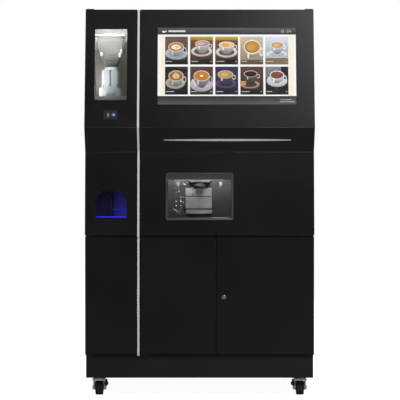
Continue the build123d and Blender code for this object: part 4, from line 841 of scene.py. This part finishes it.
# the hopper's ribbed foot, its collar, clips and posts
rib = {"count": 6, "first": 0.034, "step": 0.0085, "half": 0.030, "widen": 0.0052, "tall": 0.0045,
       "edge": 0.002}
ribs = []
for index in range(rib["count"]):
    z = hopperLow.z + rib["first"] + index * rib["step"]
    half = rib["half"] + index * rib["widen"]
    ribs.append(addBlock("sumpRib", (hopperX - half, hopperY - half, z),
                         (hopperX + half, hopperY + half, z + rib["tall"]), rib["edge"], 3))
finishPiece(joinAll("hopperSump", ribs), beigePlastic, "cabinet")
neck = {"below": 0.010, "above": 0.004, "radius": 0.034, "lip": 0.031, "lipThick": 0.0028, "edge": 0.002}
collar = joinAll("hopperCollar", [
    addRod("collarLow", (hopperX, hopperY, hopperLow.z - neck["below"]),
           (hopperX, hopperY, hopperLow.z + neck["above"]),
           neck["radius"], 40, neck["edge"]),
    addRing("collarLip", (hopperX, hopperY, hopperLow.z + neck["above"]), (0, 0, 1), neck["lip"],
            neck["lipThick"])])
finishPiece(collar, whitePlastic, "cabinet")
clip = {"places": ((0.044, 0.052), (0.052, 0.072), (-0.050, 0.058)), "wide": 0.012, "tall": 0.022,
        "proud": 0.004,
        "deep": 0.010, "edge": 0.0015, "pinOut": 0.008, "pinRadius": 0.003}
post = {"inset": 0.002, "out": 0.003, "bottom": 0.09, "top": 0.004, "radius": 0.0022}
grinderRod = {"in": 0.016, "bottom": 0.075, "top": 0.012, "radius": 0.0052}
bolt = {"places": (-0.036, 0.036), "in": 0.010, "bottom": 0.068, "top": 0.086, "radius": 0.0045}
adjustRing = {"below": 0.014, "radius": 0.045, "thick": 0.004}
clips = []
for dx, dz in clip["places"]:
    x, z = hopperX + dx, hopperLow.z + dz
    pinX, pinZ = x + clip["wide"] / 2, z + clip["tall"] / 2
    clips.append(addBlock("clip", (x, hopperLow.y - clip["proud"], z),
                          (x + clip["wide"], hopperLow.y + clip["deep"], z + clip["tall"]), clip["edge"]))
    clips.append(addRod("clipPin", (pinX, hopperLow.y - clip["pinOut"], pinZ),
                        (pinX, hopperLow.y + clip["proud"], pinZ), clip["pinRadius"], 16))
postX, postY = hopperLow.x + post["inset"], hopperLow.y - post["out"]
clips.append(addRod("hopperPost", (postX, postY, hopperLow.z + post["bottom"]),
                    (postX, postY, hopperHigh.z - post["top"]), post["radius"], 16))
rodY = grinderLow.y + grinderRod["in"]
clips.append(addRod("grinderRod", (hopperX, rodY, grinderLow.z + grinderRod["bottom"]),
                    (hopperX, rodY, grinderHigh.z - grinderRod["top"]), grinderRod["radius"], 20))
clips.append(addRing("adjustRing", (hopperX, hopperY, grinderHigh.z - adjustRing["below"]), (0, 0, 1),
                     adjustRing["radius"], adjustRing["thick"]))
for dx in bolt["places"]:
    x, y = hopperX + dx, grinderLow.y + bolt["in"]
    clips.append(addRod("motorBolt", (x, y, grinderLow.z + bolt["bottom"]),
                        (x, y, grinderLow.z + bolt["top"]), bolt["radius"], 6))
finishPiece(joinAll("hopperFittings", clips), zincSteel, "cabinet")
bayTray = {"half": 0.068, "front": 0.018, "back": 0.004, "bottom": 0.006, "top": 0.020, "edge": 0.0012}
fitBlock("bayTray", (hopperX - bayTray["half"], grinderLow.y - bayTray["front"],
                     paneLow.z + bayTray["bottom"]),
         (hopperX + bayTray["half"], grinderLow.y - bayTray["back"], paneLow.z + bayTray["top"]),
         bayTray["edge"],
         whitePlastic, "cabinet")
addSoftbox("bayLight", (hopperX, shelfLow.y + 0.02, bayTop - 0.052),
           (hopperX, bayBack, grinderHigh.z - 0.054), (0.18, 0.03), 1.1)
addSoftbox("bayFootLight", (hopperX - 0.09, shelfLow.y + 0.02, bayFloor + 0.12),
           (hopperX + 0.04, bayBack, grinderHigh.z - 0.014), (0.03, 0.16), 0.6)
addSoftbox("bayFrontLight", (hopperX, shelfLow.y + 0.012, hopperHigh.z - 0.04),
           (hopperX, bayBack, hopperHigh.z - 0.04), (0.13, 0.16), 0.32)
print("stage: hopper bay built")

# payment reader face: tap waves and a rounded blue mark
readerFace = facetOf("upper_left_window_panel")
readerLow, readerHigh = low("payment_reader"), high("payment_reader")
readerX = (readerLow.x + readerHigh.x) / 2
readerShare = (readerFace[0] - readerFace[1]).length / (readerFace[0].z - readerFace[1].z)
readerDown = (readerFace[0].z - (readerLow.z + readerHigh.z) / 2) * readerShare
reader = {"waves": (0.005, 0.009, 0.013), "waveThick": 0.0009, "waveCut": 0.55, "waveX": -0.020,
          "waveOut": 0.0004,
          "leafRadius": 0.0105, "leafThick": 0.0009, "leafScale": (1.15, 0.85, 1), "leafX": 0.012,
          "leafOut": 0.0001, "edge": 0.0002}


def keepHalf(piece, place, normal, inner):  # cuts a piece in two and keeps one side, closed
    pickOnly(piece)
    bpy.ops.object.mode_set(mode="EDIT")
    bpy.ops.mesh.select_all(action="SELECT")
    bpy.ops.mesh.bisect(plane_co=place, plane_no=normal, clear_inner=inner, clear_outer=not inner,
                        use_fill=True)
    bpy.ops.object.mode_set(mode="OBJECT")


arcs = []
for radius in reader["waves"]:
    arc = addRing("tapWave", (0, 0, 0), (0, 0, 1), radius, reader["waveThick"], 40)
    keepHalf(arc, (radius * reader["waveCut"], 0, 0), (1, 0, 0), True)
    arcs.append(arc)
tapSign = joinAll("tapWaves", arcs)
placeOn(tapSign, readerFace, readerX + reader["waveX"], readerDown, reader["waveOut"])
finishPiece(tapSign, whiteMark, "upper_left_door")
clearSelection()
bpy.ops.mesh.primitive_cylinder_add(vertices=48, radius=reader["leafRadius"], depth=reader["leafThick"])
leaf = namePiece("cardMark")
keepHalf(leaf, (-0.004, 0, 0), (-1, 0.35, 0), False)
keepHalf(leaf, (0, -0.006, 0), (-0.2, -1, 0), False)
leaf.scale = reader["leafScale"]
settle(leaf)
softenEdges(leaf, reader["edge"])
cardSign = joinAll("cardSign", [leaf, addBlock("cardStripe", (-0.004, 0.0005, 0.0003), (0.010, 0.0022,
    0.0008), reader["edge"])])
placeOn(cardSign, readerFace, readerX + reader["leafX"], readerDown, reader["leafOut"])
finishPiece(cardSign, blueMark, "upper_left_door")

# cup port: the liner glows blue with painted light, brighter to the right and to the floor where the blue lamps sit
portLow, portHigh = low("port_liner"), high("port_liner")
portX = (portLow.x + portHigh.x) / 2
port = {"dark": (10, 10, 44), "light": (40, 34, 118), "fromLeft": 0.07, "toRight": 0.04, "paintedGlow": 0.8,
        "base": (26, 26, 60)}
portLinerPaintedLight, tree, shader, place = startMaterial("portLinerPaintedBlueLight")
surface = addFineSurface(tree, place)
axes = addNode(tree, "SeparateXYZ")
tree.links.new(place.outputs["Object"], axes.inputs[0])
# painted light: dark to light towards the right, fading upward from the floor
across = spread(tree, axes.outputs["X"], 0.0, 1.0, portLow.x + port["fromLeft"], portHigh.x - port["toRight"])
upward = spread(tree, axes.outputs["Z"], 1.0, 0.25, portLow.z, portHigh.z)
rise = addNode(tree, "Mix", {0: 1.0}, data_type="RGBA", blend_type="MULTIPLY")
tree.links.new(mixColour(tree, across, tint(*port["dark"]), tint(*port["light"])), rise.inputs[6])
tree.links.new(upward, rise.inputs[7])
tree.links.new(rise.outputs[2], shader.inputs["Emission Color"])
setSockets(shader, {"Emission Strength": port["paintedGlow"], "Base Color": tint(*port["base"])})
tree.links.new(spread(tree, surface.outputs["Smudge"], 0.25, 0.4), shader.inputs["Roughness"])
for slotPlace in nodes["port_liner"].material_slots:
    slotPlace.material = portLinerPaintedLight
fitBlock("portLightPlate", (portLow.x + 0.006, portLow.y + 0.012, portLow.z + 0.0125),
         (portHigh.x - 0.006, portLow.y + 0.085, portLow.z + 0.0165), 0.001, blueLamp, "upper_left_door")
fitBlock("portLightLine", (portX, portHigh.y - 0.010, portLow.z + 0.05),
         (portHigh.x - 0.006, portHigh.y - 0.006, portLow.z + 0.0535), 0.0008, blueLamp, "upper_left_door")
fitBlock("portDivider", (portX - 0.001, portLow.y + 0.05, portLow.z + 0.017),
         (portX + 0.001, portHigh.y - 0.006, portHigh.z - 0.012), 0.0006, blackPlastic, "upper_left_door")
print("stage: port lit")

# delivery chamber
chamberLow, chamberHigh = low("delivery_chamber"), high("delivery_chamber")
windowLow, windowHigh = low("delivery_bezel"), high("delivery_bezel")
trayTop, headLow = high("drip_tray").z, low("nozzle_head")
wall = 0.004
left, right = chamberLow.x + wall, chamberHigh.x - wall
front, back, top = chamberLow.y + wall, chamberHigh.y - wall, chamberHigh.z - wall
for slotPlace in nodes["delivery_chamber"].material_slots:
    slotPlace.material = chamberSteel
lightBar = {"left": -0.128, "right": 0.124, "front": 0.012, "deep": 0.006, "down": 0.039, "tall": 0.005,
            "edge": 0.0012}
fitBlock("chamberLightBar", (lightBar["left"], front + lightBar["front"], windowHigh.z - lightBar["down"]),
         (lightBar["right"], front + lightBar["front"] + lightBar["deep"],
          windowHigh.z - lightBar["down"] + lightBar["tall"]),
         lightBar["edge"], chamberLamp, "cabinet")
# the hood glows a little with painted light from its finish
hood = {"side": 0.002, "front": 0.018, "thick": 0.0015, "down": 0.036, "top": 0.002, "edge": 0.0005}
fitBlock("chamberHood", (left + hood["side"], front + hood["front"], windowHigh.z - hood["down"]),
         (right - hood["side"], front + hood["front"] + hood["thick"], top - hood["top"]), hood["edge"],
         hoodPaintAndPaintedGlow, "cabinet")

# pieces on the chamber's back: left, right, how far in front of it, thickness, bottom and top over the plate's foot
plateFoot = windowHigh.z - 0.183


def addOnBack(name, leftX, rightX, out, inner, bottom, high, edge):
    return addBlock(name, (leftX, back - out, plateFoot + bottom), (rightX, back - inner, plateFoot + high),
                    edge)


finishPiece(addOnBack("chamberBackPlate", -0.075, 0.065, 0.004, 0.001, 0, 0.11, 0.0012), platePaint,
            "cabinet")
frameBars = joinAll("chamberPlateFrame", [
    addOnBack("plateLine", -0.075, 0.065, 0.008, 0.003, 0.062, 0.0655, 0.0008),
    addOnBack("plateTick", -0.038, -0.035, 0.007, 0.003, 0.0655, 0.079, 0.0006),
    addOnBack("plateStep", -0.082, 0.072, 0.024, 0.003, -0.007, -0.001, 0.0012)])
finishPiece(frameBars, blackPlastic, "cabinet")
stepBar = joinAll("chamberStepBar", [
    addOnBack("stepFace", -0.072, 0.067, 0.022, 0.018, -0.025, -0.007, 0.001),
    addOnBack("stepLip", -0.070, 0.064, 0.027, 0.020, -0.028, -0.023, 0.0012)])
finishPiece(stepBar, brushedSteel, "cabinet")

fixture = {"plates": ((-0.123, -0.104), (0.101, 0.118)), "front": front + 0.06, "thick": 0.004, "drop": 0.046,
           "tall": 0.033, "foot": 0.03, "footTall": 0.003, "boltDown": 0.02, "boltRadius": 0.004}
brackets = []
plateTop = windowHigh.z - fixture["drop"]
for plateLeft, plateRight in fixture["plates"]:
    boltX, boltZ = (plateLeft + plateRight) / 2, plateTop - fixture["boltDown"]
    brackets.append(addBlock("bracketPlate", (plateLeft, fixture["front"], plateTop - fixture["tall"]),
                             (plateRight, fixture["front"] + fixture["thick"], plateTop), 0.001))
    brackets.append(addBlock("bracketFoot", (plateLeft, fixture["front"], plateTop - fixture["footTall"]),
                             (plateRight, fixture["front"] + fixture["foot"], plateTop), 0.001))
    brackets.append(addRod("bracketBolt", (boltX, fixture["front"] - 0.003, boltZ),
                           (boltX, fixture["front"] + 0.001, boltZ), fixture["boltRadius"], 6))
brackets.append(addRod("sensorNeck", (-0.084, fixture["front"], windowHigh.z - 0.056),
                       (-0.074, fixture["front"], windowHigh.z - 0.061), 0.0045, 20))
# cup guide and the thin wire beside it: points across and down from the window's corner
guides = [(0.0036, [(0.034, 0.187), (0.044, 0.190), (0.052, 0.196), (0.058, 0.205)]),
          (0.0018, [(0.060, 0.205), (0.069, 0.197), (0.075, 0.184), (0.077, 0.168)])]
for radius, points in guides:
    places = [(windowLow.x + across, fixture["front"] + 0.02, windowHigh.z - down) for across, down in points]
    for first, second in zip(places, places[1:]):
        brackets.append(addRod("guidePiece", first, second, radius, 16))
    for place in places[1:-1]:
        clearSelection()
        bpy.ops.mesh.primitive_uv_sphere_add(segments=16, ring_count=8, radius=radius, location=place)
        knuckle = namePiece("guideJoint")
        settle(knuckle)
        brackets.append(knuckle)
finishPiece(joinAll("chamberBrackets", brackets), zincSteel, "cabinet")

# small lamps on the back wall: across, down and radius
dotPlaces = [(0.061, 0.091, 0.0030), (0.050, 0.097, 0.0016), (0.071, 0.122, 0.0026), (0.071, 0.133, 0.0018),
             (0.071, 0.145, 0.0034), (0.046, 0.145, 0.0028), (0.046, 0.168, 0.0030), (0.070, 0.167, 0.0022),
             (0.083, 0.124, 0.0018), (0.083, 0.150, 0.0018)]
dots = []
for across, down, radius in dotPlaces:
    x, z = windowLow.x + across, windowHigh.z - down
    dots.append(addRod("dot", (x, back - 0.004, z), (x, back - 0.001, z), radius, 16, 0.0004))
finishPiece(joinAll("chamberDots", dots), dotLamp, "cabinet")
nozzleRing = {"behind": 0.050, "above": 0.001, "radius": 0.0405, "thick": 0.0022}
ring = addRing("nozzleCollarRing", (0, headLow.y + nozzleRing["behind"], headLow.z + nozzleRing["above"]),
               (0, 0, 1), nozzleRing["radius"], nozzleRing["thick"])
finishPiece(ring, chrome, "cabinet")
fitBlock("chamberSill", (left + 0.006, front, trayTop + 0.0005),
         (right - 0.006, front + 0.006, trayTop + 0.004), 0.0012,
         brushedSteel, "cabinet")
fitBlock("bezelSillLine", (windowLow.x + 0.006, windowLow.y - 0.0006, windowLow.z + 0.0045),
         (windowHigh.x - 0.006, windowLow.y + 0.0008, windowLow.z + 0.0070), 0.0004, zincSteel,
         "upper_right_door")
addSoftbox("chamberLight", (0.0, front + 0.03, top - 0.01), (0.0, back, plateFoot + 0.035), (0.24, 0.02), 1.5)
print("stage: chamber fitted")

# castors: hub caps, light fork cheeks that glow with painted light, brake pedals in front
hub = {"inside": 0.002, "out": 0.0012, "radius": 0.026, "face": 0.023, "rib": 0.019, "ribThick": 0.001,
       "ribOut": 0.0008}
cheek = {"out": 0.0052, "thick": 0.007, "half": 0.014, "bottom": 0.006, "top": 0.040, "boss": 0.012,
         "bossRadius": 0.013,
         "bossFace": 0.0105, "edge": 0.0022}
crown = {"bottom": 0.041, "sideTop": 0.048, "frontTop": 0.050, "sideBack": 0.012, "sideOut": 0.009,
         "front": 0.046,
         "rear": 0.016, "noseFront": 0.052, "noseRear": 0.040, "past": 0.010}


def sideBlock(name, first, second, y, z, edge):
    return addBlock(name, (min(first, second), y[0], z[0]), (max(first, second), y[1], z[1]), edge, 3)


for corner in ("front_left", "front_right", "rear_left", "rear_right"):
    wheel = "castor_wheel_" + corner
    wheelLow, wheelHigh = low(wheel), high(wheel)
    axleY, axleZ = (wheelLow.y + wheelHigh.y) / 2, (wheelLow.z + wheelHigh.z) / 2
    caps = []
    for side, x in ((-1, wheelLow.x), (1, wheelHigh.x)):
        caps.append(addRod("hubCap", (x - side * hub["inside"], axleY, axleZ),
                           (x + side * hub["out"], axleY, axleZ), hub["radius"], 40, 0.001, hub["face"]))
        caps.append(addRing("hubRib", (x + side * hub["ribOut"], axleY, axleZ), (1, 0, 0), hub["rib"],
                            hub["ribThick"]))
    finishPiece(joinAll("hub_" + corner, caps), greyPlastic, wheel)
    fork = "castor_fork_" + corner
    shell = []
    for side, x in ((-1, wheelLow.x), (1, wheelHigh.x)):
        face = x + side * cheek["out"]
        shell.append(sideBlock("cheek", face, face + side * cheek["thick"],
                               (axleY - cheek["half"], axleY + cheek["half"]),
                               (axleZ - cheek["bottom"], axleZ + cheek["top"]), cheek["edge"]))
        shell.append(addRod("axleBoss", (face, axleY, axleZ), (face + side * cheek["boss"], axleY, axleZ),
                            cheek["bossRadius"], 32, 0.0012, cheek["bossFace"]))
        shell.append(sideBlock("crownEdge", face - side * crown["sideBack"], face + side * crown["sideOut"],
                               (axleY - crown["front"], axleY + crown["rear"]),
                               (axleZ + crown["bottom"], axleZ + crown["sideTop"]), 0.002))
    shell.append(addBlock("crownFront", (wheelLow.x - crown["past"], axleY - crown["noseFront"],
                                         axleZ + crown["bottom"]),
                          (wheelHigh.x + crown["past"], axleY - crown["noseRear"], axleZ + crown["frontTop"]),
                          0.003, 3))
    finishPiece(joinAll("forkShell_" + corner, shell), castorSteelAndPaintedGlow, fork)
    if corner.startswith("front"):
        turn, outer = (1, wheelHigh.x) if corner.endswith("left") else (-1, wheelLow.x)
        pedal = joinAll("brakePedal_" + corner, [
            sideBlock("pedalArm", outer + turn * 0.013, outer + turn * 0.022, (axleY - 0.034, axleY + 0.012),
                      (axleZ + 0.010, axleZ + 0.042), 0.003),
            sideBlock("pedalPad", outer + turn * 0.010, outer + turn * 0.030, (axleY - 0.060, axleY - 0.030),
                      (axleZ + 0.020, axleZ + 0.034), 0.003)])
        finishPiece(pedal, blackPlastic, fork)
    print("stage: castor", corner)

# lock face
lockFace = {"ringOut": 0.0003, "ringInset": 0.0012, "ringThick": 0.0011, "slotHalf": 0.0016,
            "slotTall": 0.0052,
            "slotFront": 0.0001, "slotBack": 0.0012, "edge": 0.0003}
lockLow, lockHigh = low("lock_barrel"), high("lock_barrel")
lockX, lockRadius = (lockLow.x + lockHigh.x) / 2, (lockHigh.x - lockLow.x) / 2
lockZ = lockLow.z + lockRadius
lockRing = addRing("lockRing", (lockX, lockLow.y + lockFace["ringOut"], lockZ), (0, 1, 0),
                   lockRadius - lockFace["ringInset"],
                   lockFace["ringThick"])
finishPiece(lockRing, chrome, "lock")
fitBlock("keySlot", (lockX - lockFace["slotHalf"], lockLow.y + lockFace["slotFront"],
                     lockZ - lockFace["slotTall"]),
         (lockX + lockFace["slotHalf"], lockLow.y + lockFace["slotBack"], lockZ + lockFace["slotTall"]),
         lockFace["edge"],
         blackPlastic, "lock")
print("stage: lock faced")

# screws on roof and back
screw = {"tall": 0.0022, "radius": 0.0048, "topRadius": 0.0036, "edge": 0.0007,
         "roofAcross": (-0.54, -0.18, 0.18, 0.54),
         "roofFront": 0.10, "roofMiddle": 0.06, "roofBack": 0.03, "backRows": 7, "backEnd": 0.03,
         "backSide": 0.012}


def fitScrews(name, places, axis):
    heads = [addRod("screwHead", place, Vector(place) + Vector(axis) * screw["tall"], screw["radius"], 20,
                    screw["edge"],
                    screw["topRadius"]) for place in places]
    finishPiece(joinAll(name, heads), zincSteel, "cabinet")


roofLow, roofHigh = low("roof_panel"), high("roof_panel")
roofDeep = (roofLow.y + screw["roofFront"], screw["roofMiddle"], roofHigh.y - screw["roofBack"])
fitScrews("roofScrews", [(x, y, roofHigh.z) for x in screw["roofAcross"] for y in roofDeep], (0, 0, 1))
backLow, backHigh = low("back_panel"), high("back_panel")
backStep = (backHigh.z - backLow.z - 2 * screw["backEnd"]) / (screw["backRows"] - 1)
backPlaces = [(x, backHigh.y,
               backLow.z + screw["backEnd"] + row * backStep) for row in range(screw["backRows"])
              for x in (backLow.x + screw["backSide"], backHigh.x - screw["backSide"])]
fitScrews("backScrews", backPlaces, (0, 1, 0))
print("stage: screws set")
